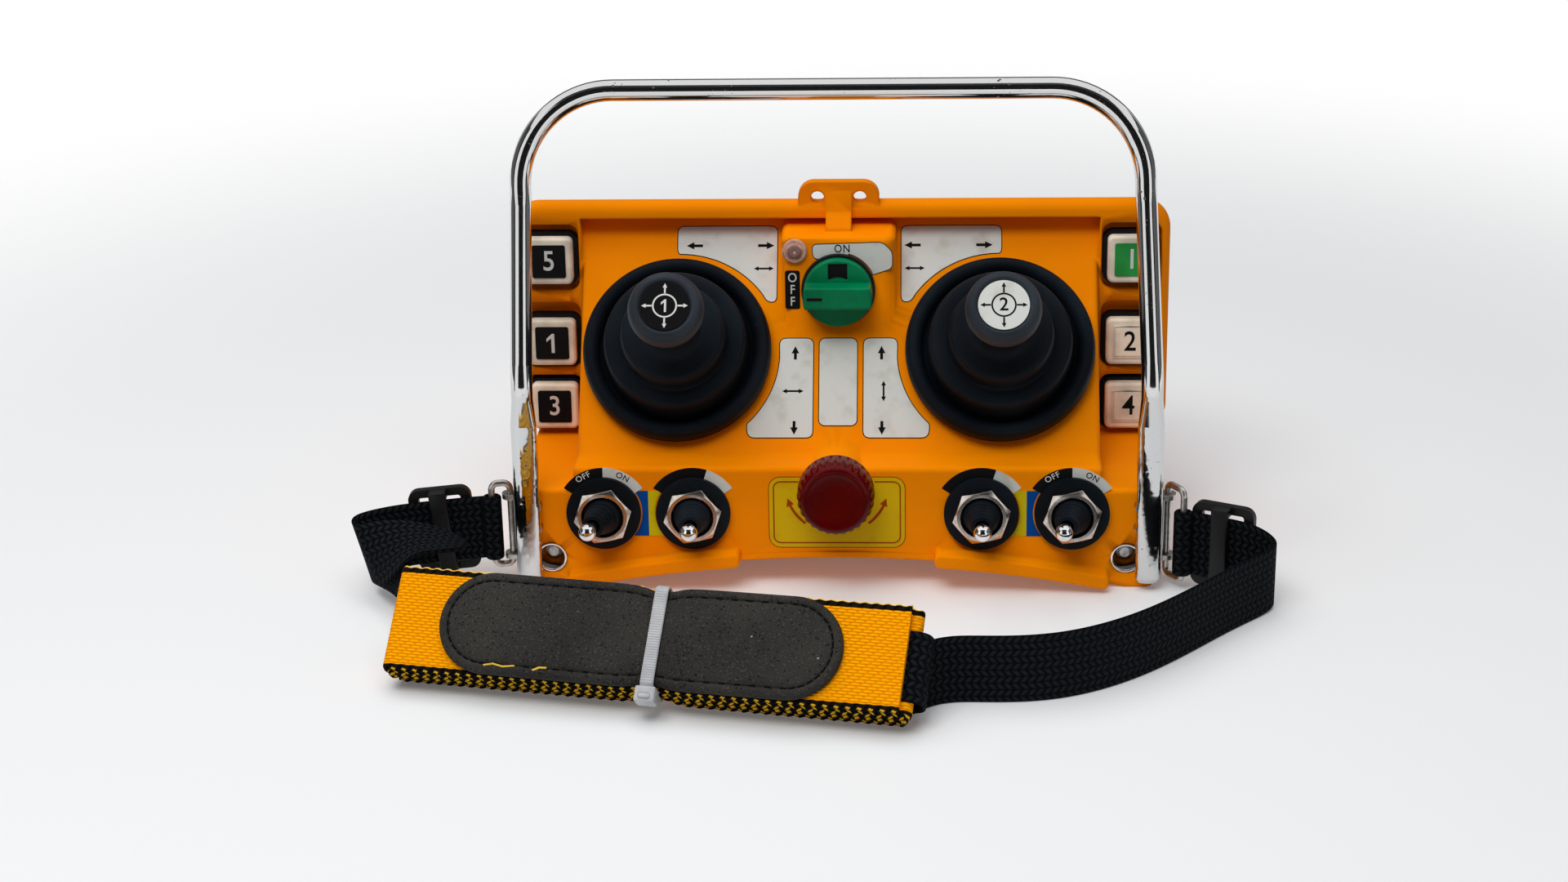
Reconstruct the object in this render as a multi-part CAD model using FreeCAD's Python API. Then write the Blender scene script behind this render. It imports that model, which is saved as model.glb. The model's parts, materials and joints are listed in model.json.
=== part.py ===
import FreeCAD, Part

import math
import os

# Radio remote control with two joysticks, a guard bar and a neck strap.
# Millimetres. +X to the operator's right, +Y away from the operator, +Z up.
# The origin is on the floor, under the middle of the housing's base.

V = FreeCAD.Vector

# Housing: a leaning slab with two wings, and a console that stands out of it
lean = 3.5                # the front wall, wings and pod lean back from upright
wall = 3.0
wing_half = 125.0
wing_low = 37.6
wing_high = 129.2
wing_corner = 11.0
wing_y = 6.9              # the wings' face meets the floor here
pocket_depth = 5.0
rim_depth = 6.4
rim_flat = 6.0            # the top is level this far back, then falls to the rear
rim_round = 4.0
roof_fall = 20.0
edge_round = 2.0
seam_depth = 22.0         # from the wings' face back to the seam of the two shells
rear_depth = 46.0
rear_round = 3.5
front_y = -50.7           # the front wall meets the floor here
console_half = 97.5
console_high = 46.5
shelf_high = 38.0
base_half_low = 116.5
base_half_high = 118.5
base_corner = 3.0
panel_lean = 37.0
panel_y = -26.0           # a point of the joystick panel
panel_z = 54.5
belly_radius = 510.0
belly_rise = 11.6
belly_end = -5.0          # the base is flat from here to the back
lip_from = 36.0
lip_to = 100.0
lip_thick = 5.3
lip_out = 7.0
lip_round = 2.0

# Switch pod and hanging tab
pod_half = 21.5
pod_low = 85.4
pod_high = 119.8
pod_corner = 5.0
pod_round = 2.5
tab_half = 15.3
tab_high = 136.6
tab_thick = 4.5
tab_corner = 6.0
tab_hole_x = 8.0
tab_hole_up = 130.6
tab_hole_radius = 2.5
tab_rib_half = 4.8
vent_deep = 14.0          # behind the wings' face
vent_radius = 3.6
vent_high = 132.8

# Joysticks
stick_x = 60.5
stick_up = 28.6           # along the panel from its named point
stick_hole = 27.0
gaiter_radius = 35.4
gaiter_ring_high = 9.0
gaiter_step_1 = 26.4
gaiter_step_1_high = 18.2
gaiter_step_2 = 19.3
gaiter_step_2_high = 27.6
gaiter_neck = 8.0
gaiter_high = 40.0
gaiter_wall = 2.0
knob_radius = 13.8
knob_low = 40.4
knob_high = 58.2
disc_radius = 9.3
disc_depth = 0.6
shaft_radius = 5.0
shaft_high = 54.0
pivot_deep = 12.0
base_radius = 25.0
base_flange = 31.0
base_wall = 3.0
base_deep = 32.0
gimbal_out = 16.0
gimbal_in = 12.0
gimbal_half = 4.0
trunnion = 2.5
cross_pin = 2.0
hub_radius = 7.5
tail_radius = 3.0
tail_long = 15.0

# Keys on the wings
key_x = 110.2
key_ups = (107.6, 75.4, 49.9)
key_side = 18.0
key_corner = 2.2
key_top = 4.6
key_skirt = 2.2
key_travel = 2.5
plunger_radius = 2.6
plunger_deep = 9.4
surround_half_x = 10.6
surround_half_y = 10.2
surround_corner = 4.0
surround_top = 0.6
pocket_in = 99.2
pocket_out = 121.6
pocket_edges = ((95.0, 121.0), (64.6, 90.6), (39.4, 61.4))
switch_side = 6.0
switch_high = 5.0

# Rotary switch
rotary_up = 100.2
rotary_bezel = 13.9
rotary_bezel_high = 2.2
rotary_radius = 12.9
rotary_disc_high = 6.6
rotary_high = 14.6
rotary_grip = 8.4
rotary_stem = 3.0
rotary_body_side = 20.0
rotary_body_deep = 13.0
lens_x = -16.4
lens_up = 115.4
lens_radius = 4.4
lens_high = 2.4

# Emergency stop
stop_up = 40.0
boss_radius = 11.7
boss_high = 4.5
boss_deep = 23.0
stop_stem = 6.0
stop_cap = 14.2
stop_cap_low = 6.2
stop_cap_high = 18.4
stop_face = 11.6
stop_skirt = 1.8
stop_flutes = 24
stop_flute = 0.7
stop_block_half = 12.0
stop_block_low = -14.0
stop_block_high = 7.5
stop_block_deep = 16.0
stop_travel = 5.0

# Toggle switches
toggle_xs = (-86.4, -53.2, 53.2, 86.4)
toggle_rests = (-11.5, 0.0, 0.0, -11.5)   # degrees, minus leans to the operator's left
toggle_up = 29.2
washer_radius = 13.8
washer_thick = 2.0
nut_flats = 19.0
nut_high = 4.2
nut_hole = 7.8
bushing_radius = 5.8
bushing_bore = 4.2
bushing_high = 2.6
toggle_side = 13.0
toggle_deep = 15.0
toggle_pivot = 3.0
toggle_ball = 3.25
toggle_high = 22.0
lever_radius = 1.7
boot_radius = 7.2
boot_foot = 5.6
boot_tip = 3.9
boot_high = 15.0

# Guard bar
bar_radius = 4.0
bar_x = 114.5
bar_flat_wide = 9.6
bar_flat_thick = 6.0
bar_low = 3.0
bar_flat_high = 64.0
bar_round_high = 74.0
bar_bend_z = 81.0
bar_sway = -2.5           # the upper part stands this far to the operator's left
bar_knee_y = -15.0
bar_knee_z = 139.0
bar_top_y = -2.5
bar_top_z = 177.4
bar_bend = 22.0
bar_corner = 34.0
bar_screw_x = 110.9
bar_screw_ups = (23.5, 32.0)
bar_screw = 1.5

# Battery bay, board and case screws
bay_half = 42.0
bay_low = 34.0
bay_high = 104.0
bay_corner = 5.0
battery_half = 33.0
battery_low = 40.0
battery_high = 98.0
battery_thick = 14.5
board_half = 90.0
board_low = 30.0
board_high = 112.0
board_thick = 1.6
gasket_thick = 1.2
gasket_wide = 2.0
gasket_edge = 0.5
post_radius = 5.0
case_posts = ((-117.5, 62.6), (117.5, 62.6), (-117.5, 91.4), (117.5, 91.4))
front_post_x = 106.5
front_post_up = 11.5
front_post_radius = 7.0
front_well_radius = 5.2
front_well_deep = 8.0
screw_radius = 1.75
screw_head = 3.2
screw_head_high = 2.2

# Strap fittings and strap
eye_y = -44.0
eye_x = 121.8
eye_low = 8.0
eye_high = 38.0
eye_plate = 1.6
eye_ear = 2.0
wire = 1.25
left_reach = (6.8, -1.0)  # from the bracket's bore to the ring's outer bar
right_reach = (5.2, -8.0)
web_wide = 25.0
web_thick = 1.8
left_low = 9.0            # the webbing's lower edge where it leaves the rings
right_low = 6.0
slider_wide = 33.0
slider_long = 23.0
slider_bar = 4.0
slider_thick = 2.4
pack_start = (-154.5, -140.8)
pack_end = (23.3, -173.8)
pack_lean = 46.0          # the folded strap's face, from the floor
pack_wide = 38.0
pack_thick = 15.0
left_join = 8.0           # where the webbing meets the folded strap's ends, from its front edge
right_join = 21.0
pad_long = 142.0
pad_wide = 36.5
pad_thick = 4.0
pad_from = 18.0
tie_wide = 4.8
tie_thick = 1.2
tie_at = 90.0

clear = 0.3               # moving or soft pieces from their neighbours
running = 0.05            # pins and shafts in their bores

os.makedirs("parts", exist_ok=True)


def save(name, *shapes):
    shape = shapes[0] if len(shapes) == 1 else Part.makeCompound(list(shapes))
    shape.exportStep("parts/" + name + ".step")


def face_frame(y, z, angle):
    """A frame on a leaning face: local x along X, y up the face, z out of it."""
    return FreeCAD.Placement(V(0, y, z), FreeCAD.Rotation(V(1, 0, 0), 90 - angle))


def put(shape, frame, x=0.0, up=0.0, out=0.0):
    moved = shape.copy()
    shift = FreeCAD.Placement(V(x, up, out), FreeCAD.Rotation())
    moved.Placement = frame.multiply(shift).multiply(shape.Placement)
    return moved


def prism(outline, half):
    """An outline in the Y-Z plane, extruded to both sides."""
    points = [V(-half, y, z) for y, z in outline]
    return Part.Face(Part.makePolygon(points + points[:1])).extrude(V(2 * half, 0, 0))


def rounded_wire(x0, y0, x1, y1, r, z=0.0):
    k = r * (1 - math.sqrt(0.5))

    def line(a, b):
        return Part.LineSegment(V(*a, z), V(*b, z)).toShape()

    def arc(a, b, c):
        return Part.Arc(V(*a, z), V(*b, z), V(*c, z)).toShape()

    return Part.Wire([
        line((x0 + r, y0), (x1 - r, y0)),
        arc((x1 - r, y0), (x1 - k, y0 + k), (x1, y0 + r)),
        line((x1, y0 + r), (x1, y1 - r)),
        arc((x1, y1 - r), (x1 - k, y1 - k), (x1 - r, y1)),
        line((x1 - r, y1), (x0 + r, y1)),
        arc((x0 + r, y1), (x0 + k, y1 - k), (x0, y1 - r)),
        line((x0, y1 - r), (x0, y0 + r)),
        arc((x0, y0 + r), (x0 + k, y0 + k), (x0 + r, y0)),
    ])


def rounded(x0, y0, x1, y1, r, z0, z1):
    """A plate with round corners, from z0 to z1 of its frame."""
    return Part.Face(rounded_wire(x0, y0, x1, y1, r, z0)).extrude(V(0, 0, z1 - z0))


def cylinder(r, z0, z1, x=0.0, y=0.0):
    return Part.makeCylinder(r, z1 - z0, V(x, y, z0))


def block(x0, y0, z0, x1, y1, z1):
    return Part.makeBox(x1 - x0, y1 - y0, z1 - z0, V(x0, y0, z0))


def turned(profile):
    """A profile of radius and height, turned about the frame's z axis."""
    points = [V(r, 0, z) for r, z in profile]
    face = Part.Face(Part.makePolygon(points + points[:1]))
    return face.revolve(V(0, 0, 0), V(0, 0, 1), 360)


def rod(r, start, end):
    along = V(*end) - V(*start)
    return Part.makeCylinder(r, along.Length, V(*start), along)


def softened(shape, r, wanted):
    return shape.makeFillet(r, [e for e in shape.Edges if wanted(e.BoundBox)])


def fused(first, *others):
    return first.multiFuse(list(others)).removeSplitter()


def mirrored(shape):
    return shape.mirror(V(0, 0, 0), V(1, 0, 0))


far = 400.0
slope = math.tan(math.radians(lean))
panel_slope = math.tan(math.radians(panel_lean))
wing = face_frame(wing_y, 0, lean)
front = face_frame(front_y, 0, lean)
panel = face_frame(panel_y, panel_z, panel_lean)


def front_at(z):
    return front_y + z * slope


def panel_at(z):
    return panel_y + (z - panel_z) * panel_slope


def pod_at(z):
    return panel_at(pod_low) + (z - pod_low) * slope


pod = face_frame(pod_at(0), 0, lean)

belly_tilt = math.atan2(belly_rise, belly_end - front_y)
belly_drop = belly_radius / math.cos(belly_tilt)


def belly_at(x, off=0.0):
    """Height of the base's hollow along the front edge."""
    return belly_rise - belly_drop + math.sqrt((belly_radius + off) ** 2 - x * x) / math.cos(belly_tilt)


def belly_cylinder(off=0.0):
    """The hollow under the front of the base, which runs out into the flat base behind it."""
    along = V(0, math.cos(belly_tilt), -math.sin(belly_tilt))
    start = V(0, front_y, belly_rise - belly_drop) - along * 50
    return Part.makeCylinder(belly_radius + off, 300, start, along)


def below(height):
    return block(-far, -far, -far, far, far, height)


behind = rear_depth + 60.0
ahead = put(block(-far, -far, -seam_depth, far, far, far), wing)
rim_low = wing_high - rim_depth


# Outer form of the housing, and its hollow
def base_form(inset, top):
    """The foot of the console, wider at its top than on the floor."""
    low, high = base_half_low - inset, base_half_high - inset
    back = wing_y + behind

    def outline(half, z):
        corner = max(base_corner - inset, 0.5)
        return rounded_wire(-half, front_at(z) + inset, half, back, corner, z)

    form = Part.makeLoft([outline(low, 0), outline(high, top)], True)
    return form if inset else softened(form, edge_round, lambda b: b.ZMin > top - 0.1 and b.YMin < wing_y)


def console_form(inset):
    out = inset / math.cos(math.radians(panel_lean))
    top = rim_low + 0.3 - inset
    form = prism([
        (front_at(0) + inset, 0),
        (front_at(console_high - inset) + inset, console_high - inset),
        (panel_at(console_high - inset) + out, console_high - inset),
        (panel_at(top) + out, top),
        (wing_y + behind, top),
        (wing_y + behind, 0),
    ], console_half - inset)

    def front_edge(box):
        return box.YMax < panel_at(top) + 1 and 0 < box.ZMax < top + 1 and box.ZLength + box.YLength > 1

    def ledge_edge(box):
        return box.YMax < front_at(console_high) + 1 and box.ZMin > console_high - 1

    return form if inset else softened(form, edge_round, lambda b: front_edge(b) or ledge_edge(b))


def recess_form(inset):
    """The space in front of the panel's upper end, under the rim."""
    out = inset / math.cos(math.radians(panel_lean))
    low = pod_low
    high = rim_low + inset
    return prism([
        (panel_at(low) + out, low),
        (panel_at(high) + out, high),
        (panel_at(low) - behind, high),
        (panel_at(low) - behind, low),
    ], console_half + 1.0 + inset)


def slab_wire(inset, deep):
    fall = max(deep - rim_flat, 0) * math.tan(math.radians(roof_fall))
    return rounded_wire(-wing_half + inset, wing_low + inset, wing_half - inset, wing_high - inset - fall,
                        wing_corner - inset, -deep)


def slab_form(inset, start, end):
    """The wings' slab between two depths, in the wings' frame; its top falls to the rear."""
    depths = [start, rim_flat, end] if start < rim_flat else [start, end]
    return Part.makeLoft([slab_wire(inset, deep) for deep in depths], True, True)


def pod_form(inset):
    low = pod_low - 2.0
    deep = 12.0
    top = pod_high - inset
    out = inset / math.cos(math.radians(lean))
    return prism([
        (pod_at(low) + out, low),
        (pod_at(top) + out, top),
        (panel_at(pod_high) + deep, top),
        (panel_at(low) + deep, low),
    ], pod_half - inset)


def upright_front(box):
    return box.YMax < pod_at(pod_high) + 1 and box.ZLength > 20


pod_outer = softened(pod_form(0), pod_corner, upright_front)
pod_outer = softened(pod_outer, pod_round,
                     lambda b: b.ZMin > pod_high - 0.5 and b.YMin < panel_at(pod_high) - 5)

slab = softened(slab_form(0, 0.0, seam_depth), rim_round, lambda b: b.ZMin > -0.1)
slab = put(slab, wing).cut(recess_form(0))
base = base_form(0, shelf_high)
boss = put(cylinder(boss_radius, -boss_deep, boss_high), front, 0, stop_up)


def belly_lip():
    """One of two flanges along the front edge of the base."""
    middle = (lip_from + lip_to) / 2

    def at(x, off):
        return V(x, front_at(0) + wall, belly_at(x, off))

    outline = Part.Wire([
        Part.Arc(at(lip_from, 0), at(middle, 0), at(lip_to, 0)).toShape(),
        Part.LineSegment(at(lip_to, 0), at(lip_to, lip_thick)).toShape(),
        Part.Arc(at(lip_to, lip_thick), at(middle, lip_thick), at(lip_from, lip_thick)).toShape(),
        Part.LineSegment(at(lip_from, lip_thick), at(lip_from, 0)).toShape(),
    ])
    lip = Part.Face(outline).extrude(V(0, -lip_out - wall, 0))
    lip = softened(lip, lip_round, lambda b: b.YLength > lip_out)
    return softened(lip, lip_round / 2, lambda b: b.YMax < front_at(0) - lip_out + 0.1)


tab_frame = face_frame(wing_y + rim_low * slope + 0.8, 0, 0)
tab = put(rounded(-tab_half, rim_low, tab_half, tab_high, tab_corner, -tab_thick, 0), tab_frame)
tab_rib = prism([
    (pod_at(pod_high) + 8, pod_high - 1),
    (pod_at(pod_high) + 8, pod_high + 1.0),
    (wing_y + tab_high * slope - 3.0, rim_low + 3.0),
    (wing_y + tab_high * slope - 1.2, tab_high - 3.0),
    (wing_y + tab_high * slope + 2.0, tab_high - 3.0),
    (wing_y + tab_high * slope + 12.0, pod_high - 1),
], tab_rib_half)

outer = fused(slab, base, console_form(0))
outer = fused(outer, pod_outer, boss, tab, tab_rib)
outer = outer.cut(belly_cylinder())
outer = fused(outer, belly_lip(), mirrored(belly_lip()))

hollow = fused(
    put(slab_form(wall, pocket_depth + wall, seam_depth + wall), wing).cut(recess_form(wall)),
    base_form(wall, shelf_high - wall),
    console_form(wall))
hollow = fused(hollow, pod_form(wall)).cut(belly_cylinder(wall)).cut(below(wall))
hollow = hollow.cut(put(cylinder(boss_radius, -boss_deep, boss_high), front, 0, stop_up))

front_housing = outer.common(ahead).cut(hollow)

# Pockets of the keys, with the plungers' holes
for side in (-1, 1):
    for low, high in pocket_edges:
        x0, x1 = sorted((side * pocket_in, side * pocket_out))
        front_housing = front_housing.cut(put(rounded(
            x0, low, x1, high, surround_corner, -pocket_depth, 1), wing))
    for up in key_ups:
        hole = cylinder(plunger_radius + clear, -pocket_depth - wall - 1, 1)
        front_housing = front_housing.cut(put(hole, wing, side * key_x, up))

# Openings for what is fitted to the panel, the pod and the front wall
for side in (-1, 1):
    front_housing = front_housing.cut(put(
        cylinder(stick_hole, -wall - 6, 20), panel, side * stick_x, stick_up))
front_housing = front_housing.cut(
    put(cylinder(rotary_stem + clear, -2 * wall, wall), pod, 0, rotary_up))
front_housing = front_housing.cut(
    put(cylinder(lens_radius - 0.6 + running, -2 * wall, wall), pod, lens_x, lens_up))
front_housing = front_housing.cut(
    put(cylinder(stop_stem + running, -boss_deep - 1, boss_high + 1), front, 0, stop_up))
for x in toggle_xs:
    front_housing = front_housing.cut(put(
        cylinder(bushing_radius + running, -2 * wall, wall), front, x, toggle_up))
for side in (-1, 1):
    for up in bar_screw_ups:
        front_housing = front_housing.cut(put(
            cylinder(bar_screw + running, -2 * wall, wall), front, side * bar_screw_x, up))
    tab_hole = cylinder(tab_hole_radius, -2 * tab_thick, tab_thick)
    front_housing = front_housing.cut(put(tab_hole, tab_frame, side * tab_hole_x, tab_hole_up))

# Screw posts behind the wings, and the wells of the two lower front screws
for x, up in case_posts:
    post = cylinder(post_radius, -seam_depth, -pocket_depth - wall)
    hole = cylinder(screw_radius + running, -seam_depth - 1, -pocket_depth - wall - 4)
    front_housing = fused(front_housing, put(post, wing, x, up)).cut(put(hole, wing, x, up))
front_reach = (wing_y - front_y) * math.cos(math.radians(lean)) + seam_depth
rear_post_up = front_post_up - (wing_y - front_y) * math.sin(math.radians(lean))
for side in (-1, 1):
    post = cylinder(front_post_radius, -front_reach, -wall / 2)
    well = cylinder(front_well_radius, -front_well_deep, wall)
    hole = cylinder(screw_radius + running, -front_reach - 1, 0)
    placed = put(post, front, side * front_post_x, front_post_up).common(outer)
    front_housing = fused(front_housing, placed)
    front_housing = front_housing.cut(put(well, front, side * front_post_x, front_post_up))
    front_housing = front_housing.cut(put(hole, front, side * front_post_x, front_post_up))
save("front_housing", front_housing)


# Rear cover, with a wide wing above and a narrower foot
def rear_form(inset, start, end):
    half = base_half_low - inset
    lower = block(-half, -10, -end, half, wing_low + wing_corner + inset, -start)
    return fused(slab_form(inset, start, end), lower)


seat = -seam_depth - gasket_thick
rear = rear_form(0, -seat, rear_depth)
rear = softened(rear, rear_round, lambda b: b.ZMax < -rear_depth + 0.1 and b.YMax > -9)
rear_hollow = rear_form(wall, -seat - 1, rear_depth - wall)
rear = put(rear, wing).cut(below(0))
rear_hollow = put(rear_hollow, wing).cut(below(wall))
rear = rear.cut(rear_hollow)
bay = rounded(-bay_half, bay_low, bay_half, bay_high, bay_corner, -rear_depth - 1, -rear_depth + wall + 1)
rear = rear.cut(put(bay, wing))
for x, up in case_posts:
    post = put(cylinder(post_radius, -rear_depth + wall / 2, seat), wing, x, up)
    hole = put(cylinder(screw_radius + running, -rear_depth - 1, seat + 1), wing, x, up)
    well = cylinder(screw_head + clear, -rear_depth - 1, -rear_depth + screw_head_high + 0.8)
    rear = fused(rear, post).cut(hole).cut(put(well, wing, x, up))
for side in (-1, 1):
    post = put(cylinder(post_radius, -rear_depth + wall / 2, seat), wing, side * front_post_x, rear_post_up)
    hole = put(cylinder(screw_radius + running, seat - 12, seat + 1), wing, side * front_post_x, rear_post_up)
    rear = fused(rear, post).cut(hole)
bay_ledge = rounded(-bay_half - 4, bay_low - 4, bay_half + 4, bay_high + 4, bay_corner + 4,
                    -rear_depth + wall, -rear_depth + 2 * wall)
bay_ledge = bay_ledge.cut(rounded(-bay_half + 4, bay_low + 4, bay_half - 4, bay_high - 4, bay_corner,
                                  -rear_depth, -rear_depth + 3 * wall))
rear = fused(rear, put(bay_ledge, wing))
cover_screws = [(side * (bay_half - 3.2), up) for side in (-1, 1) for up in (bay_low + 3.2, bay_high - 3.2)]
for x, up in cover_screws:
    hole = cylinder(screw_radius + running, -rear_depth - 1, -rear_depth + 2 * wall + 1)
    rear = rear.cut(put(hole, wing, x, up))
board_posts = [(side * (board_half - 5), up) for side in (-1, 1) for up in (board_low + 5, board_high - 5)]
board_seat = seat - 3.0
for x, up in board_posts:
    rear = fused(rear, put(cylinder(3.0, -rear_depth + wall / 2, board_seat - board_thick), wing, x, up))
save("rear_cover", rear)

# Seal between the two shells
gasket_in = gasket_edge + gasket_wide
gasket = put(rear_form(gasket_edge, seam_depth, -seat), wing).cut(below(gasket_edge))
gasket = gasket.cut(put(rear_form(gasket_in, seam_depth - 1, -seat + 1), wing).cut(below(gasket_in)))
save("case_gasket", gasket)

# Battery cover, cells and circuit board
battery_cover = rounded(-bay_half + clear, bay_low + clear, bay_half - clear, bay_high - clear,
                        bay_corner - clear, -rear_depth, -rear_depth + wall)
battery_ribs = [block(-bay_half + 12, bay_low + 18 + 8 * i, -rear_depth - 0.8,
                      bay_half - 12, bay_low + 20 + 8 * i, -rear_depth) for i in range(5)]
battery_cover = fused(battery_cover, *battery_ribs)
for x, up in cover_screws:
    battery_cover = battery_cover.cut(cylinder(screw_radius + running, -rear_depth - 1, 0, x, up))
save("battery_cover", put(battery_cover, wing))

cell_z = -rear_depth + wall + battery_thick / 2
tray = rounded(-battery_half, battery_low, battery_half, battery_high, 2.0,
               -rear_depth + wall, -rear_depth + wall + battery_thick)
cells = 4
pitch = 2 * battery_half / cells
for i in range(cells):
    start = V(-battery_half + (i + 0.5) * pitch, battery_low + 3, cell_z - battery_thick / 2)
    scoop = Part.makeCylinder(pitch / 2 - 0.8, battery_high - battery_low - 6, start, V(0, 1, 0))
    tray = tray.cut(scoop)
save("battery_pack", put(tray, wing))

board = block(-board_half, board_low, board_seat - board_thick, board_half, board_high, board_seat)
save("circuit_board", put(board, wing))


def screw(length):
    """A round-headed screw: its head stands in -z, its shank runs along +z."""
    head = turned([(0, -screw_head_high), (screw_head * 0.6, -screw_head_high),
                   (screw_head, -screw_head_high * 0.4), (screw_head, 0), (0, 0)])
    return fused(head, cylinder(screw_radius, 0, length))


rear_screw = screw(rear_depth - screw_head_high - 0.8 - pocket_depth - wall - 5)
case_screws = [put(rear_screw, wing, x, up, -rear_depth + screw_head_high + 0.8) for x, up in case_posts]
front_screw = screw(front_reach - front_well_deep + 8)
front_screw.rotate(V(0, 0, 0), V(1, 0, 0), 180)
case_screws += [put(front_screw, front, side * front_post_x, front_post_up, -front_well_deep)
                for side in (-1, 1)]
save("case_screws", *case_screws)

cover_screw = screw(2 * wall - 1)
battery_screws = [put(cover_screw, wing, x, up, -rear_depth) for x, up in cover_screws]
save("battery_screws", *battery_screws)

# Vent plug: a round stub with a domed head on the falling roof, behind the tab
vent_y = wing_y + wing_high * slope + vent_deep
vent_low = wing_high - (vent_deep + vent_radius - rim_flat) * math.tan(math.radians(roof_fall)) - wall / 2
vent = fused(cylinder(vent_radius, vent_low, vent_high - vent_radius, 0, vent_y),
             Part.makeSphere(vent_radius, V(0, vent_y, vent_high - vent_radius)))
save("vent_plug", vent.cut(front_housing))


# Guard bar: one bent rod, flattened where it is screwed to the front wall
def bar_leg_y(z):
    return front_at(z) - bar_flat_thick / 2 / math.cos(math.radians(lean))


def bent_rod(points, radii, r):
    """A rod of straight runs joined by round bends."""
    pieces = []
    start = points[0]
    for a, b, c, bend in zip(points, points[1:], points[2:], radii):
        u = (a - b).normalize()
        w = (c - b).normalize()
        half = u.getAngle(w) / 2
        cut = bend / math.tan(half)
        middle = b + (u + w).normalize() * (bend / math.sin(half))
        pieces.append(Part.makeCylinder(r, (b + u * cut - start).Length, start, -u))
        section = Part.Face(Part.Wire([Part.Circle(b + u * cut, u, r).toShape()]))
        turn = 180 - math.degrees(2 * half)
        pieces.append(section.revolve(middle, w.cross(u), turn))
        start = b + w * cut
    pieces.append(Part.makeCylinder(r, (points[-1] - start).Length, start, points[-1] - start))
    return fused(*pieces)


def flat_end(side):
    """A leg's lower end, pressed from round to a rounded flat."""
    def oval(up, wide, thick):
        return Part.Wire([Part.Ellipse(V(0, 0, up), wide / 2, thick / 2).toShape()])

    sunk = bar_flat_thick / 2 * math.sin(math.radians(lean))
    up_round = (bar_round_high - sunk) / math.cos(math.radians(lean))
    circle = Part.Wire([Part.Circle(V(0, 0, up_round), V(0, 0, 1), bar_radius).toShape()])
    stem = Part.makeLoft([oval(bar_flat_high, bar_flat_wide, bar_flat_thick), circle], True, True)
    flat = Part.Face(oval(bar_low + 2, bar_flat_wide, bar_flat_thick))
    flat = flat.extrude(V(0, 0, bar_flat_high - bar_low - 2))
    tip = Part.makeLoft([oval(bar_low, bar_flat_wide - 3, bar_flat_thick - 3),
                         oval(bar_low + 2, bar_flat_wide, bar_flat_thick)], True, True)
    end = fused(tip, flat, stem)
    # the oval's local z runs up the wall, its local y runs into the wall
    upright = FreeCAD.Placement(V(0, front_y, 0), FreeCAD.Rotation(V(1, 0, 0), -lean))
    return put(end, upright, side * bar_x, -bar_flat_thick / 2, 0)


def half_bar(side):
    x = side * bar_x
    points = [
        V(bar_sway, bar_top_y, bar_top_z),
        V(x + bar_sway, bar_top_y, bar_top_z),
        V(x + bar_sway * 0.6, bar_knee_y, bar_knee_z),
        V(x, bar_leg_y(bar_bend_z), bar_bend_z),
        V(x, bar_leg_y(bar_round_high), bar_round_high),
    ]
    whole = fused(bent_rod(points, [bar_corner, bar_bend, bar_bend], bar_radius), flat_end(side))
    for up in bar_screw_ups:
        whole = whole.cut(put(cylinder(bar_screw + running, -1, 4.0), front, side * bar_screw_x, up))
    return whole


save("guard_bar", fused(half_bar(-1), half_bar(1)))

guard_screw = fused(cylinder(2.4, -wall - 2.0, -wall), cylinder(bar_screw, -wall, 3.6))
save("guard_screws", *[put(guard_screw, front, side * bar_screw_x, up)
                       for side in (-1, 1) for up in bar_screw_ups])


# Joysticks: a cup under the panel, a gimbal, a stick with its knob, a rubber gaiter
def stick_base():
    cup = turned([
        (base_flange, -wall), (base_flange, -wall - 2.5), (base_radius, -wall - 2.5),
        (base_radius, -base_deep), (0, -base_deep), (0, -base_deep + 2),
        (base_radius - base_wall, -base_deep + 2), (base_radius - base_wall, -wall),
    ])
    across = Part.makeCylinder(trunnion + running, 4 * base_radius,
                               V(-2 * base_radius, 0, -pivot_deep), V(1, 0, 0))
    return cup.cut(across)


def gimbal():
    ring = cylinder(gimbal_out, -pivot_deep - gimbal_half, -pivot_deep + gimbal_half)
    ring = ring.cut(cylinder(gimbal_in, -pivot_deep - gimbal_half - 1, -pivot_deep + gimbal_half + 1))
    reach = base_radius - 0.6
    pins = [rod(trunnion, (side * (gimbal_in + 1.5), 0, -pivot_deep), (side * reach, 0, -pivot_deep))
            for side in (-1, 1)]
    bore = rod(cross_pin + running, (0, -2 * gimbal_out, -pivot_deep), (0, 2 * gimbal_out, -pivot_deep))
    return fused(ring, *pins).cut(bore)


def stick():
    ball = Part.makeSphere(hub_radius, V(0, 0, -pivot_deep))
    shaft = cylinder(shaft_radius, -pivot_deep, shaft_high)
    tail = cylinder(tail_radius, -pivot_deep - tail_long, -pivot_deep)
    pin = rod(cross_pin, (0, -gimbal_out + 0.4, -pivot_deep), (0, gimbal_out - 0.4, -pivot_deep))
    return fused(ball, shaft, tail, pin)


def knob():
    waist = gaiter_neck + 0.4
    top = knob_high - disc_depth
    return turned([
        (shaft_radius + running, knob_low), (waist, knob_low), (waist + 0.3, knob_low + 3.4),
        (waist + 2.2, knob_low + 6.6), (knob_radius - 0.5, knob_low + 9.6), (knob_radius, knob_low + 12),
        (knob_radius - 0.4, knob_low + 14.6), (knob_radius - 2.0, knob_high - 0.6),
        (disc_radius + 0.9, knob_high), (disc_radius + 0.3, knob_high), (disc_radius + 0.3, top), (0, top),
        (0, shaft_high), (shaft_radius + running, shaft_high),
    ])


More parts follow.
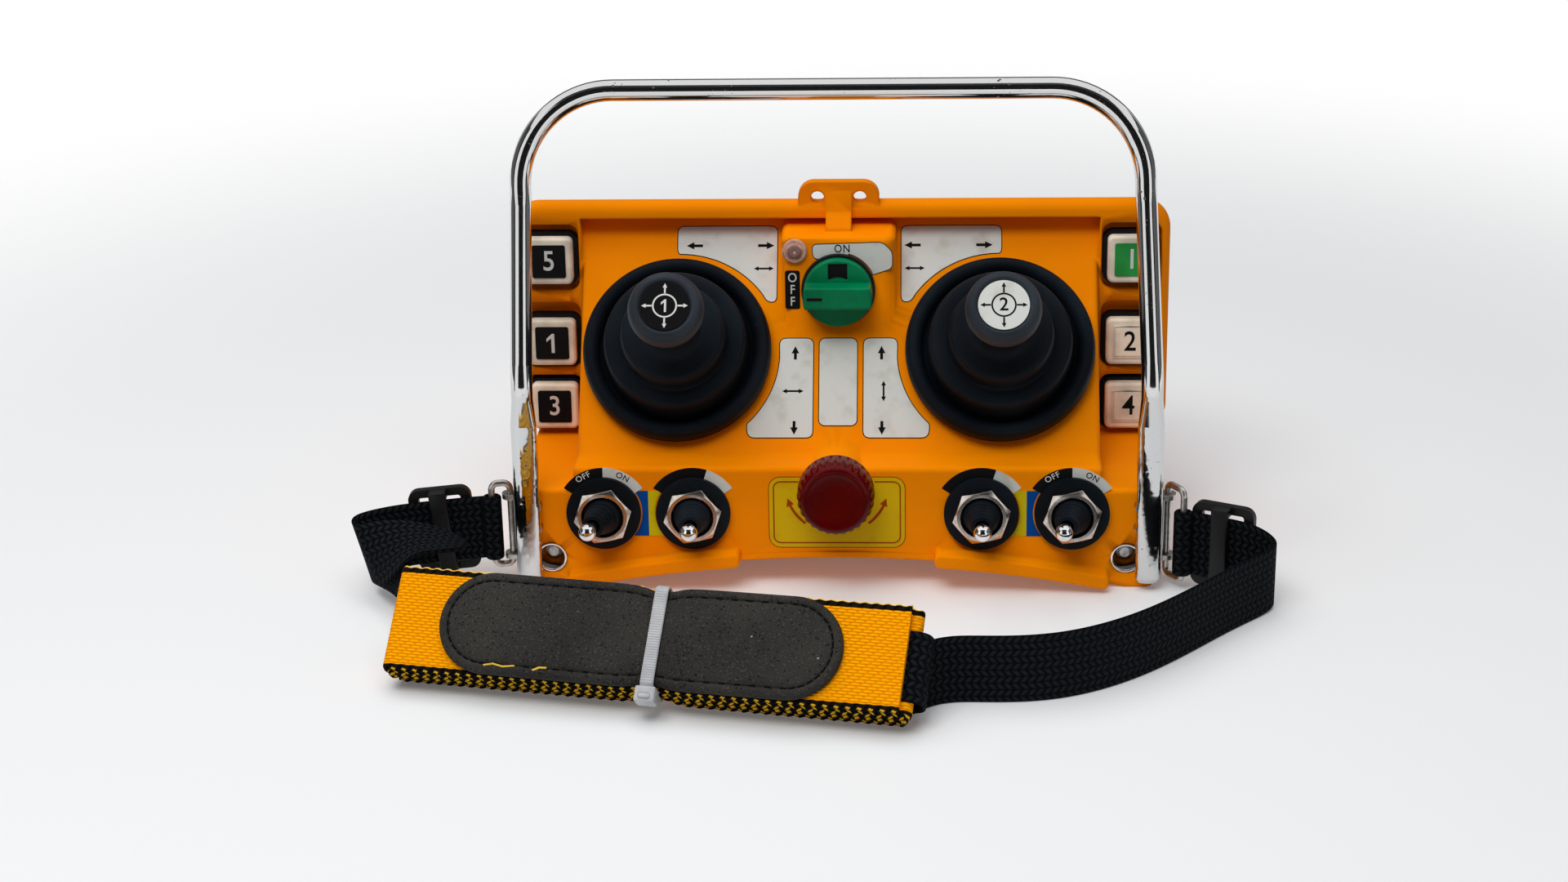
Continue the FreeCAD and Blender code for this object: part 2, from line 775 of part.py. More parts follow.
def gaiter():
    ring_in = stick_hole + 2.2
    t = gaiter_wall
    hole = shaft_radius + clear
    s1, h1 = gaiter_step_1, gaiter_step_1_high
    s2, h2 = gaiter_step_2, gaiter_step_2_high
    return turned([
        (gaiter_radius, 0.0), (gaiter_radius, gaiter_ring_high - 3.2),
        (gaiter_radius - 1.0, gaiter_ring_high - 1.0), (gaiter_radius - 3.0, gaiter_ring_high),
        (ring_in + 1.4, gaiter_ring_high - 0.6), (ring_in, gaiter_ring_high - 2.4), (ring_in - 0.4, 4.4),
        (s1 + 0.8, 4.4), (s1, h1 - 1.6), (s1 - 1.6, h1), (s2 + 1.4, h1 + 0.3), (s2 + 0.4, h1 + 1.4),
        (s2, h2 - 1.6), (s2 - 1.8, h2), (gaiter_neck + 2.6, h2 + 0.8), (gaiter_neck + 0.8, h2 + 2.6),
        (gaiter_neck, gaiter_high), (hole, gaiter_high), (hole, h2 - t + 0.6), (s2 - t - 0.6, h2 - t),
        (s2 - t, h1 - t), (s1 - t - 0.4, h1 - t), (s1 - t, 2.2), (s1 - t, 0.0),
    ])


for name, side in (("left", -1), ("right", 1)):
    for part, shape in (("stick_base", stick_base()), ("gimbal", gimbal()), ("stick", stick()),
                        ("knob", knob()), ("gaiter", gaiter())):
        save(name + "_" + part, put(shape, panel, side * stick_x, stick_up))


# Keys, the rubber round them, and their switches
def key():
    half = key_side / 2
    cap = rounded(-half, -half, half, half, key_corner, -key_skirt, key_top)
    cap = cap.makeChamfer(0.8, [e for e in cap.Edges if e.BoundBox.ZMin > key_top - 0.1])
    return fused(cap, cylinder(plunger_radius, -plunger_deep, -key_skirt))


def surround():
    inside = key_side / 2 + clear
    frame = rounded(-surround_half_x, -surround_half_y, surround_half_x, surround_half_y,
                    surround_corner, -pocket_depth, surround_top)
    return frame.cut(rounded(-inside, -inside, inside, inside, key_corner + clear, -pocket_depth - 1, 2))


def key_switch():
    half = switch_side / 2
    top = -plunger_deep - key_travel - clear
    return fused(block(-half, -half, top - switch_high, half, half, top - 1), cylinder(1.7, top - 2, top))


surrounds = []
switches = []
pocket_rows = ("top", "middle", "bottom")
for name, side in (("left", -1), ("right", 1)):
    for row, up in zip(pocket_rows, key_ups):
        save(name + "_key_" + row, put(key(), wing, side * key_x, up))
        surrounds.append(put(surround(), wing, side * key_x, up))
        switches.append(put(key_switch(), wing, side * key_x, up))
save("key_surrounds", *surrounds)
strip_top = -plunger_deep - key_travel - clear - switch_high
for side in (-1, 1):
    x0, x1 = sorted((side * (key_x - 7.0), side * (key_x + 1.4)))
    strip = block(x0, key_ups[2] - 6, strip_top - board_thick, x1, key_ups[0] + 6, strip_top)
    switches.append(put(strip, wing))
save("key_switches", *switches)

# Rotary switch and signal lens on the pod
bezel = cylinder(rotary_bezel, 0, rotary_bezel_high)
bezel = bezel.cut(cylinder(rotary_stem + clear, -1, rotary_bezel_high + 1))
save("rotary_bezel", put(bezel, pod, 0, rotary_up))

disc_low = rotary_bezel_high + clear
disc = softened(cylinder(rotary_radius, disc_low, rotary_disc_high), 0.8,
                lambda b: b.ZMin > rotary_disc_high - 0.1)
grip = rounded(-rotary_radius, -rotary_grip / 2, rotary_radius, rotary_grip / 2, 1.5, disc_low, rotary_high)
grip = softened(grip, 1.0, lambda b: b.ZMin > rotary_high - 0.1)
grip = grip.common(cylinder(rotary_radius, 0, rotary_high + 1))
window = block(-3.6, rotary_grip / 2 + 1.2, rotary_disc_high - 1.0,
               3.6, rotary_radius - 1.4, rotary_disc_high + 1)
rotary = fused(disc, grip).cut(window)
rotary = fused(rotary, cylinder(rotary_stem, -rotary_body_deep + 3, disc_low + 1))
save("rotary_knob", put(rotary, pod, 0, rotary_up))

half = rotary_body_side / 2
rotary_body = block(-half, -half, -wall - rotary_body_deep, half, half, -wall)
rotary_body = rotary_body.cut(cylinder(rotary_stem + running, -rotary_body_deep + 2.6, 1))
save("rotary_switch", put(rotary_body, pod, 0, rotary_up))

lens = turned([(0, -wall - 2), (lens_radius - 0.6, -wall - 2), (lens_radius - 0.6, 0), (lens_radius, 0),
               (lens_radius, 0.6), (lens_radius - 0.8, lens_high - 0.8), (lens_radius - 2.4, lens_high),
               (0, lens_high)])
save("status_lens", put(lens, pod, lens_x, lens_up))

# Emergency stop: a fluted cap on a sliding stem, and a contact block behind the wall
cap_body = turned([
    (0, stop_cap_low + 4), (stop_cap - stop_skirt, stop_cap_low + 4), (stop_cap - stop_skirt, stop_cap_low),
    (stop_cap, stop_cap_low), (stop_cap, stop_cap_high - 3.0), (stop_face, stop_cap_high), (0, stop_cap_high),
])
flutes = []
for i in range(stop_flutes):
    turn = 2 * math.pi * i / stop_flutes
    x, y = stop_cap * math.cos(turn), stop_cap * math.sin(turn)
    flutes.append(cylinder(stop_flute, stop_cap_low - 1, stop_cap_high + 1, x, y))
save("stop_cap", put(cap_body.cut(Part.makeCompound(flutes)), front, 0, stop_up))
stem = cylinder(stop_stem, -boss_deep - stop_block_deep + stop_travel + 2, stop_cap_low + 4 - running)
save("stop_stem", put(stem, front, 0, stop_up))
stop_block = block(-stop_block_half, stop_block_low, -boss_deep - stop_block_deep,
                   stop_block_half, stop_block_high, -boss_deep)
stop_block = stop_block.cut(cylinder(stop_stem + running, -boss_deep - stop_block_deep + 1.5, 1))
save("stop_block", put(stop_block, front, 0, stop_up))

# Toggle switches: body and bushing, rubber washer, nut, lever and boot
half = toggle_side / 2
toggle_body = fused(block(-half, -half, -wall - toggle_deep, half, half, -wall),
                    cylinder(bushing_radius, -wall, bushing_high))
toggle_body = toggle_body.cut(cylinder(bushing_bore, toggle_pivot - 12, bushing_high + 1))
washer = cylinder(washer_radius, 0, washer_thick).cut(cylinder(boot_radius + clear, -1, washer_thick + 1))
corner = nut_flats / 2 / math.cos(math.pi / 6)
nut_turns = [math.pi / 3 * i + 0.2 for i in range(7)]
hexagon = Part.makePolygon([V(corner * math.cos(t), corner * math.sin(t), washer_thick) for t in nut_turns])
nut = Part.Face(hexagon).extrude(V(0, 0, nut_high))
nut_dome = turned([(0, 0), (corner, 0), (corner, washer_thick + nut_high - 1.2),
                   (nut_flats / 2 - 0.4, washer_thick + nut_high), (0, washer_thick + nut_high)])
nut = nut.common(nut_dome).cut(cylinder(nut_hole, 0, 20))


def lever(rest):
    ball = Part.makeSphere(toggle_ball, V(0, 0, toggle_high))
    pivot = Part.makeSphere(bushing_bore - clear, V(0, 0, toggle_pivot))
    shank = Part.makeCone(lever_radius, lever_radius + 0.6, toggle_high - toggle_pivot, V(0, 0, toggle_pivot))
    tail = cylinder(lever_radius, toggle_pivot - 8, toggle_pivot)
    whole = fused(pivot, shank, tail, ball)
    whole.rotate(V(0, 0, toggle_pivot), V(0, 1, 0), rest)
    return whole


def boot(rest):
    """A rubber cone that leans with its lever, on an upright foot."""
    inside = bushing_radius + clear
    hole = lever_radius + 0.6 + clear
    low = boot_foot - 1.4
    cone = turned([
        (boot_radius - 0.2, low), (boot_radius - 0.9, low + 2.6), (boot_tip + 1.2, boot_high - 6),
        (boot_tip + 0.5, boot_high - 3), (boot_tip, boot_high), (hole, boot_high), (hole, low + 3.0),
        (inside, low),
    ])
    cone.rotate(V(0, 0, toggle_pivot), V(0, 1, 0), rest)
    foot = cylinder(boot_radius, clear, boot_foot).cut(cylinder(inside, 0, boot_foot + 1))
    return fused(foot, cone)


save("toggle_bodies", *[put(toggle_body, front, x, toggle_up) for x in toggle_xs])
save("toggle_washers", *[put(washer, front, x, toggle_up) for x in toggle_xs])
save("toggle_nuts", *[put(nut, front, x, toggle_up) for x in toggle_xs])
for i, (x, rest) in enumerate(zip(toggle_xs, toggle_rests), 1):
    save("toggle_lever_%d" % i, put(lever(rest), front, x, toggle_up))
    save("toggle_boot_%d" % i, put(boot(rest), front, x, toggle_up))


# Strap fittings: a bracket with two ears on each flank, and a wire ring in it
def side_at(z):
    return base_half_low + (base_half_high - base_half_low) * z / shelf_high


def strap_eye():
    near, rear, top = eye_y - 3.2, eye_y + 10, eye_high - 2
    plate = prism([(near, eye_low), (rear, eye_low), (rear, top), (near, top)], 5)
    plate.translate(V(side_at(eye_high) + eye_plate - 5, 0, 0))
    plate = plate.cut(base_form(-running, shelf_high))
    plate = plate.common(block(base_half_low - 1, -far, 0, far, far, far))
    ears = []
    for z in (eye_low + 1.0, eye_high - 2 - eye_ear - 1.0):
        ear = fused(block(side_at(eye_high) + 0.2, eye_y - 3, z, eye_x, eye_y + 3, z + eye_ear),
                    cylinder(3.0, z, z + eye_ear, eye_x, eye_y))
        ears.append(ear)
    whole = fused(plate, *ears)
    return whole.cut(cylinder(wire + running, 0, 60, eye_x, eye_y))


def strap_ring(reach_x, reach_y, web_low):
    low, high = web_low - 2 * wire - clear, eye_high + 1.0
    reach = V(reach_x, reach_y, 0)
    near = V(eye_x, eye_y, 0)
    corners = [near + V(0, 0, low), near + reach + V(0, 0, low),
               near + reach + V(0, 0, high), near + V(0, 0, high)]
    middle = (corners[0] + corners[3]) * 0.5
    return bent_rod([middle, corners[3], corners[2], corners[1], corners[0], middle], [2 * wire] * 4, wire)


eye = strap_eye()
save("strap_eyes", eye, mirrored(eye))
save("right_strap_ring", strap_ring(*right_reach, right_low))
save("left_strap_ring", mirrored(strap_ring(*left_reach, left_low)))


# Webbing: upright ribbons between the rings and the folded shoulder strap
def ribbon(points, thick):
    """Upright strips through points of x, y and lower edge, round at each turn."""
    strips = []
    for (x0, y0, z0), (x1, y1, z1) in zip(points, points[1:]):
        along = V(x1 - x0, y1 - y0, 0)
        side = V(-along.y, along.x, 0).normalize() * (thick / 2)
        low = [V(x0, y0, z0) - side, V(x1, y1, z1) - side, V(x1, y1, z1) + side, V(x0, y0, z0) + side]
        strip = Part.Face(Part.makePolygon(low + low[:1])).extrude(V(0, 0, web_wide))
        strips.append(strip)
    for x, y, z in points[1:-1]:
        strips.append(Part.makeCylinder(thick / 2, web_wide, V(x, y, z)))
    return fused(*strips)


left_bar = (-eye_x - left_reach[0], eye_y + left_reach[1])
right_bar = (eye_x + right_reach[0], eye_y + right_reach[1])
loop_radius = wire + clear + 0.1 + web_thick


def strap_loop(bar, low):
    loop = cylinder(loop_radius, low, low + web_wide, *bar)
    return loop.cut(cylinder(loop_radius - web_thick, 0, 100, *bar))


# The folded shoulder strap's frame: x along it, y up its leaning face, z out of that face
along = V(pack_end[0] - pack_start[0], pack_end[1] - pack_start[1], 0)
pack_long = along.Length
along.normalize()
across = V(-along.y, along.x, 0)
lift = pack_thick * math.cos(math.radians(pack_lean))
spin = math.degrees(math.atan2(along.y, along.x))
pack_turn = FreeCAD.Rotation(V(0, 0, 1), spin).multiply(FreeCAD.Rotation(V(1, 0, 0), pack_lean))
pack_frame = FreeCAD.Placement(V(pack_start[0], pack_start[1], lift), pack_turn)

left_end = V(*pack_start, 0) + across * left_join - along * (web_thick / 2 + clear)
right_end = V(*pack_end, 0) + across * right_join + along * (web_thick / 2 + clear)
run_gap = loop_radius - 0.6
left_run = [(left_bar[0] - run_gap, left_bar[1], left_low), (-163.0, -45.5, left_low),
            (-180.0, -50.0, left_low - 2), (-181.5, -54.0, left_low - 4), (-172.0, -65.0, 2.0),
            (-164.0, -90.0, 0.0), (left_end.x, left_end.y, 0.0)]
right_run = [(right_bar[0] + run_gap, right_bar[1], right_low), (151.0, -62.0, right_low),
             (156.6, -66.4, 2.0), (157.0, -71.0, 0.0), (140.0, -87.0, 0.0), (108.0, -124.1, 0.0),
             (76.2, -142.8, 0.0), (35.0, -144.0, 0.0), (right_end.x, right_end.y, 0.0)]
save("left_strap", fused(strap_loop(left_bar, left_low), ribbon(left_run, web_thick)))
save("right_strap", fused(strap_loop(right_bar, right_low), ribbon(right_run, web_thick)))


def slider(x, y, low, turn):
    """A plastic strap adjuster: two side bars behind the webbing, one in front."""
    half_long, half_wide = slider_long / 2, slider_wide / 2
    gap = web_thick / 2 + clear
    rails = [block(-half_long, -slider_thick, z, half_long, slider_thick, z + slider_bar - clear)
             for z in (-half_wide, half_wide - slider_bar + clear)]
    bars = [block(end - 2, gap, -half_wide, end + 2, gap + slider_thick, half_wide)
            for end in (2 - half_long, half_long - 2)]
    middle = block(-2.5, -gap - slider_thick, -half_wide, 2.5, -gap, half_wide)
    whole = fused(rails[0], rails[1], bars[0], bars[1], middle)
    whole.rotate(V(0, 0, 0), V(0, 0, 1), turn)
    whole.translate(V(x, y, low + web_wide / 2))
    return whole


def slider_on(run):
    """An adjuster in the middle of a run's first straight piece."""
    a, b = run[0], run[1]
    turn = math.degrees(math.atan2(b[1] - a[1], b[0] - a[0]))
    return slider((a[0] + b[0]) / 2, (a[1] + b[1]) / 2, a[2], turn if abs(turn) < 90 else turn + 180)


save("strap_sliders", slider_on(left_run), slider_on(right_run))

# Folded shoulder strap with its pad, both drawn in by a cable tie
waist = tie_thick + 2 * clear
tie_end = tie_at + tie_wide
drawn_in = block(tie_at - clear, waist, -pack_thick + waist,
                 tie_end + clear, pack_wide - waist, pad_thick - waist)
belt = block(tie_at - clear, -far, -far, tie_end + clear, far, far).cut(drawn_in)
shoulder = block(0, 0, -pack_thick, pack_long, pack_wide, 0)
shoulder = softened(shoulder, pack_thick / 2 - 0.1, lambda b: b.YLength > pack_wide - 1)
save("shoulder_strap", put(shoulder.cut(belt), pack_frame))
pad = rounded(pad_from, 0.5, pad_from + pad_long, 0.5 + pad_wide, pad_wide / 2 - 0.1, 0.0, pad_thick)
pad = softened(pad, 1.4, lambda b: b.ZMin > pad_thick - 0.1)
save("shoulder_pad", put(pad.cut(belt), pack_frame))
grow = clear + tie_thick
tie = block(tie_at, waist - grow, -pack_thick + waist - grow,
            tie_end, pack_wide - waist + grow, pad_thick - waist + grow)
tie = tie.cut(block(tie_at - 1, waist - clear, -pack_thick + waist - clear,
                    tie_end + 1, pack_wide - waist + clear, pad_thick - waist + clear))
tie_head = block(tie_at - 1.2, -clear - 4.5, -3.0, tie_end + 1.2, -clear, 4.0)
tie_neck = block(tie_at, -2 * clear, -3.0, tie_end, waist - grow + tie_thick / 2, 4.0)
save("cable_tie", put(fused(tie, tie_head, tie_neck), pack_frame))
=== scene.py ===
import json
import math

import bmesh
import bpy
from mathutils import Matrix, Vector


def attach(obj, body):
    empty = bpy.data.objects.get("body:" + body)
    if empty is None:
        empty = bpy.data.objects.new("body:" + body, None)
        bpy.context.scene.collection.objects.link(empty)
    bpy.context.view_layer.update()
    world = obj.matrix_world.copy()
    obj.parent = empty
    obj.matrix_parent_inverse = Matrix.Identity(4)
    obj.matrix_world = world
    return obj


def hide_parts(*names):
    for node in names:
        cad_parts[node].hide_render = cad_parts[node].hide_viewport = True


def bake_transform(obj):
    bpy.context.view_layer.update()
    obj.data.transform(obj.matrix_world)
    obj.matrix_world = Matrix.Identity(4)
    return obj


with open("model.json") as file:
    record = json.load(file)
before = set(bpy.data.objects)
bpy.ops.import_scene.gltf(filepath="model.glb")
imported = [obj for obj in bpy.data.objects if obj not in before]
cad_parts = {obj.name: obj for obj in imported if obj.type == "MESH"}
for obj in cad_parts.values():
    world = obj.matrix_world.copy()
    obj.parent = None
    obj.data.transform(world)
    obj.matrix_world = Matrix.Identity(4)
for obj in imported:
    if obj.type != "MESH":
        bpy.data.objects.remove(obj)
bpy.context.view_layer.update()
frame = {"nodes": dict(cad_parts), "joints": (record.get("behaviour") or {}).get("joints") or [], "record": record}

# Housing: two shells of dyed orange plastic with a fine moulded grain. A little
# dust lies on them in patches, and handling has polished some patches.
mm = 0.001


class Shade:
    """A value in a material's node tree. Arithmetic on it adds the nodes."""

    def __init__(self, tree, socket=None):
        self.tree = tree
        self.socket = socket

    def node(self, kind, output=0, settings=None, **inputs):
        made = self.tree.nodes.new("ShaderNode" + kind)
        for name, value in (settings or {}).items():
            setattr(made, name, value)
        for name, value in inputs.items():
            number = name.strip("_")
            socket = made.inputs[int(number) if number.isdigit() else name.replace("_", " ")]
            if isinstance(value, Shade):
                self.tree.links.new(value.socket, socket)
            else:
                socket.default_value = value
        return Shade(self.tree, made.outputs[output])

    def maths(self, operation, *values):
        numbered = {"_%d" % i: v for i, v in enumerate(values)}
        return self.node("Math", settings={"operation": operation}, **numbered)

    def __add__(self, other):
        return self.maths("ADD", self, other)

    def __sub__(self, other):
        return self.maths("SUBTRACT", self, other)

    def __rsub__(self, other):
        return self.maths("SUBTRACT", other, self)

    def __mul__(self, other):
        return self.maths("MULTIPLY", self, other)

    def __truediv__(self, other):
        return self.maths("DIVIDE", self, other)

    def __rtruediv__(self, other):
        return self.maths("DIVIDE", other, self)

    __radd__, __rmul__ = __add__, __mul__

    def place(self):
        """A point of the piece, in metres."""
        return self.node("TexCoord", "Object")

    def flat(self):
        """A point of a strap laid flat: metres along it and across it from its middle."""
        return self.node("TexCoord", "UV")

    def part(self, axis):
        return self.node("SeparateXYZ", axis, Vector=self)

    def noise(self, scale, detail=2.0):
        return self.node("TexNoise", Vector=self.place(), Scale=scale, Detail=detail)

    def specks(self, scale, size):
        """1 in round spots of that share of a cell, else 0."""
        return self.node("TexVoronoi", Vector=self.place(), Scale=scale).step(size, size * 0.7)

    def step(self, low, high):
        """From 0 at low to 1 at high, smoothly."""
        smooth = {"interpolation_type": "SMOOTHSTEP"}
        return self.node("MapRange", settings=smooth, Value=self, From_Min=low, From_Max=high)

    def most(self, other):
        return self.maths("MAXIMUM", self, other)

    def crest(self):
        """0 at whole numbers, 1 half way between them."""
        swing = 2.0 * self.maths("FRACT", self) - 1.0
        return 1.0 - swing * swing

    def mix(self, one, other):
        return self.node("MixRGB", Fac=self, Color1=one, Color2=other)

    def bump(self, depth, strength=1.0, soft_edge=0.0):
        """Relief of that many metres, on edges worn round where asked."""
        inputs = {"Height": self, "Distance": depth, "Strength": strength}
        if soft_edge:
            inputs["Normal"] = self.node("Bevel", settings={"samples": 6}, Radius=soft_edge)
        return self.node("Bump", **inputs)


def srgb(red, green, blue):
    def linear(v):
        v /= 255
        return v / 12.92 if v <= 0.04045 else ((v + 0.055) / 1.055) ** 2.4
    return linear(red), linear(green), linear(blue), 1.0


def material(name, make):
    """A material whose shader inputs are what make returns."""
    made = bpy.data.materials.new(name)
    made.use_nodes = True
    shader = made.node_tree.nodes["Principled BSDF"]
    for key, value in make(Shade(made.node_tree)).items():
        if isinstance(value, Shade):
            made.node_tree.links.new(value.socket, shader.inputs[key])
        else:
            shader.inputs[key].default_value = value
    return made


def dress(slot, made):
    """Gives a material to every CAD node of a slot."""
    for part in frame["record"]["subparts"]:
        if part["material_slot"] == slot:
            node = frame["nodes"][part["node"]]
            node.data.materials.clear()
            node.data.materials.append(made)


def orange_plastic(s):
    cloud = s.noise(9.0, 4.0)
    dust = s.noise(900.0, 3.0).step(0.62, 0.72) * s.noise(22.0).step(0.45, 0.75)
    tint = cloud.step(0.35, 0.7).mix(srgb(244, 133, 0), srgb(250, 142, 0))
    grain = s.noise(2600.0, 2.0)
    return {
        "Base Color": (dust * 0.1).mix(tint, srgb(240, 170, 80)),
        "Roughness": 0.42 + 0.14 * cloud + 0.05 * grain,
        "Specular IOR Level": 0.04,
        "Normal": grain.bump(0.00004, 0.5, 1.2 * mm),
    }


orange = material("orange plastic", orange_plastic)
dress("housing_orange", orange)
dress("cover_orange", orange)


# Belly arch: the front edge of the base curves up between the two lips, and the
# base falls back from there to the flat part that the case stands on.
base_front, base_flat, arch_rise, arch_radius = -50.7, -5.0, 11.6, 510.0
arch_half = 106.0
base_wall, base_lift = 2.5, 0.02
arch_fall = arch_rise / (base_flat - base_front)


def smoothed(mesh, sharp):
    """Shades a mesh smooth, but for edges of more than so many degrees."""
    mesh.shade_smooth()
    mesh.set_sharp_from_angle(angle=math.radians(sharp))


def shown(name, mesh, made):
    """A mesh as a piece of one material."""
    mesh.materials.clear()
    mesh.materials.append(made)
    piece = bpy.data.objects.new(name, mesh)
    bpy.context.collection.objects.link(piece)
    return piece


def mesh_piece(name, points, faces, made, sharp=35):
    mesh = bpy.data.meshes.new(name)
    mesh.from_pydata([tuple(p) for p in points], [], faces)
    work = bmesh.new()
    work.from_mesh(mesh)
    bmesh.ops.remove_doubles(work, verts=work.verts, dist=1e-7)
    bmesh.ops.recalc_face_normals(work, faces=work.faces)
    work.to_mesh(mesh)
    work.free()
    smoothed(mesh, sharp)
    return shown(name, mesh, made)


def bands(rings, n):
    """Faces between closed rings of n points each."""
    return [(i * n + k, i * n + (k + 1) % n, (i + 1) * n + (k + 1) % n, (i + 1) * n + k)
            for i in range(rings - 1) for k in range(n)]


def arch_at(x, y):
    """Height of the base's underside."""
    edge = arch_rise - (arch_radius - math.sqrt(arch_radius ** 2 - x * x)) * math.hypot(1, arch_fall)
    return edge - max(0.0, y - base_front) * arch_fall


def bent_slab(name, stations, low, high, made):
    """A solid across the base, with its lower and upper height given at each place."""
    count = 48
    across = [arch_half * (2 * k / count - 1) for k in range(count + 1)]
    rows = [[(x, y, low(x, y)) for x in across] + [(x, y, high(x, y)) for x in across[::-1]]
            for y in stations]
    n = len(rows[0])
    faces = bands(len(rows), n)
    for first in (0, (len(rows) - 1) * n):
        faces += [(first + k, first + k + 1, first + n - 2 - k, first + n - 1 - k) for k in range(count)]
    return mesh_piece(name, [Vector(p) * mm for row in rows for p in row], faces, made)


node = frame["nodes"]["front_housing"]
mesh = node.data.copy()
mesh.transform(node.matrix_world)
work = bmesh.new()
work.from_mesh(mesh)
bmesh.ops.remove_doubles(work, verts=work.verts, dist=1e-6)
work.to_mesh(mesh)
work.free()
housing = shown("arched_housing", mesh, orange)
spare, arch_gap = 20.0, 0.05
room_below = bent_slab("room_below", (base_front - spare, base_front, base_flat + spare),
                       lambda x, y: -spare, lambda x, y: arch_at(x, y) - arch_gap, orange)
cut = housing.modifiers.new("arch", "BOOLEAN")
cut.operation = "DIFFERENCE"
cut.solver = "EXACT"
cut.object = room_below


def applied(piece):
    """The mesh of a piece with its modifiers, which it loses."""
    bpy.context.view_layer.update()
    made = bpy.data.meshes.new_from_object(piece.evaluated_get(bpy.context.evaluated_depsgraph_get()))
    piece.modifiers.clear()
    piece.data = made
    return made


arched = applied(housing)
bpy.data.objects.remove(room_below)
smoothed(arched, 30)
flatter = housing.modifiers.new("flat faces", "WEIGHTED_NORMAL")
flatter.keep_sharp = True
arched = applied(housing)
arched.materials.clear()
arched.materials.append(orange)
floor_front, floor_rows = base_front + 0.6, 24
depths = [floor_front + (base_flat - floor_front) * k / floor_rows for k in range(floor_rows + 1)]
underside = bent_slab("belly_floor", depths, lambda x, y: max(base_lift, arch_at(x, y)),
                      lambda x, y: max(base_lift, arch_at(x, y)) + base_wall, orange)
for piece in (housing, underside):
    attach(piece, "case")
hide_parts("front_housing")


# Guard bar: one bent rod with bright plating. Years of knocks have left brown
# pits in it, most of them on the right leg.
def worn_chrome(s):
    right = s.place().part("X").step(-0.02, 0.1)
    pits = s.specks(260.0, 0.14) * (s.noise(40.0) + 0.07 * right).step(0.57, 0.63)
    flecks = s.specks(700.0, 0.15) * (s.noise(70.0) + 0.05 * right).step(0.58, 0.7)
    marks = pits.most(flecks)
    smear = s.noise(30.0, 4.0)
    return {
        "Base Color": marks.mix(srgb(214, 214, 214), srgb(60, 48, 40)),
        "Metallic": 1.0 - 0.85 * marks,
        "Roughness": 0.07 + 0.06 * smear.step(0.4, 0.8) + 0.5 * marks,
        "Normal": (1.0 - marks).bump(0.00005, 0.4),
    }


dress("bar_chrome", material("worn chrome", worn_chrome))


# Screws, sticks, gimbals, wire rings and strap brackets: turned and bent steel,
# plated with zinc that has dulled a little.
def zinc_steel(s):
    stain = s.noise(400.0, 4.0)
    return {
        "Base Color": stain.step(0.4, 0.8).mix(srgb(200, 198, 194), srgb(150, 146, 140)),
        "Metallic": 1.0,
        "Roughness": 0.2 + 0.25 * stain,
        "Normal": stain.bump(0.00003, 0.3, 0.4 * mm),
    }


dress("steel", material("zinc plated steel", zinc_steel))


# Small mouldings of black plastic with a fine grain: the bezel of the rotary
# switch, the vent plug, the battery cover and the switch parts inside the case.
def black_moulding(s):
    grain = s.noise(1800.0, 3.0)
    return {
        "Base Color": s.noise(30.0, 3.0).step(0.3, 0.8).mix(srgb(7, 8, 9), srgb(17, 18, 20)),
        "Roughness": 0.36 + 0.16 * grain,
        "Specular IOR Level": 0.3,
        "Normal": grain.bump(0.00003, 0.5, 0.5 * mm),
    }


black_plastic = material("black plastic", black_moulding)
dress("black_plastic", black_plastic)
dress("battery_grey", black_plastic)


# Faces of the case that the other pieces sit on. Each has its own frame: x to
# the operator's right, y up the face, z out of it.
def face(origin, up):
    across = Vector((1, 0, 0))
    turned_to = Matrix((across, up, across.cross(up))).transposed().to_4x4()
    turned_to.translation = Vector(origin) * mm
    return turned_to


def shifted(base, x, y, z=0.0):
    """A frame moved by millimetres along its own axes."""
    return base @ Matrix.Translation(Vector((x, y, z)) * mm)


joints = {j["name"]: j for j in frame["joints"]}
wall_up = Vector(joints["toggle_1_tilt"]["axis"])
panel_up = Vector(joints["left_stick_left_right"]["axis"])
wall = face((0, base_front, 0), wall_up)
wings = face((0, 6.9, 0), wall_up)
pod = face((0, -7.94, 0), wall_up)
panel = face((0, -26.0, 54.5), panel_up)


# Joysticks: a stepped rubber gaiter on the raked panel, and a knob with a round
# label that shows the stick's number and its four ways.
def rounded_line(points, rounds=2):
    """An open line with its corners rounded off."""
    for _ in range(rounds):
        cut = [points[0]]
        for a, b in zip(points, points[1:]):
            cut.append(tuple(0.75 * p + 0.25 * q for p, q in zip(a, b)))
            cut.append(tuple(0.25 * p + 0.75 * q for p, q in zip(a, b)))
        points = cut + [points[-1]]
    return points


def turned(name, profile, at, made, steps=96, shape=None):
    """A profile of radius and height in millimetres, turned about a frame's z."""
    points = []
    faces = []
    rows = len(profile)
    for i in range(steps):
        turn = 2 * math.pi * i / steps
        for r, h in profile:
            r = shape(r, h, turn) if shape else r
            points.append(at @ (Vector((r * math.cos(turn), r * math.sin(turn), h)) * mm))
    for i in range(steps):
        j = (i + 1) % steps
        for k in range(rows - 1):
            faces.append((i * rows + k, j * rows + k, j * rows + k + 1, i * rows + k + 1))
    return mesh_piece(name, points, faces, made)


def plates(name, outlines, low, high, at, made):
    """Outlines in millimetres on a face, raised from low to high."""
    points = []
    faces = []
    for outline in outlines:
        n = len(outline)
        k = len(points)
        points += [at @ (Vector((x, y, z)) * mm) for z in (low, high) for x, y in outline]
        faces += [tuple(range(k, k + n))[::-1], tuple(range(k + n, k + 2 * n))]
        faces += [(k + i, k + (i + 1) % n, k + n + (i + 1) % n, k + n + i) for i in range(n)]
    return mesh_piece(name, points, faces, made, 20)


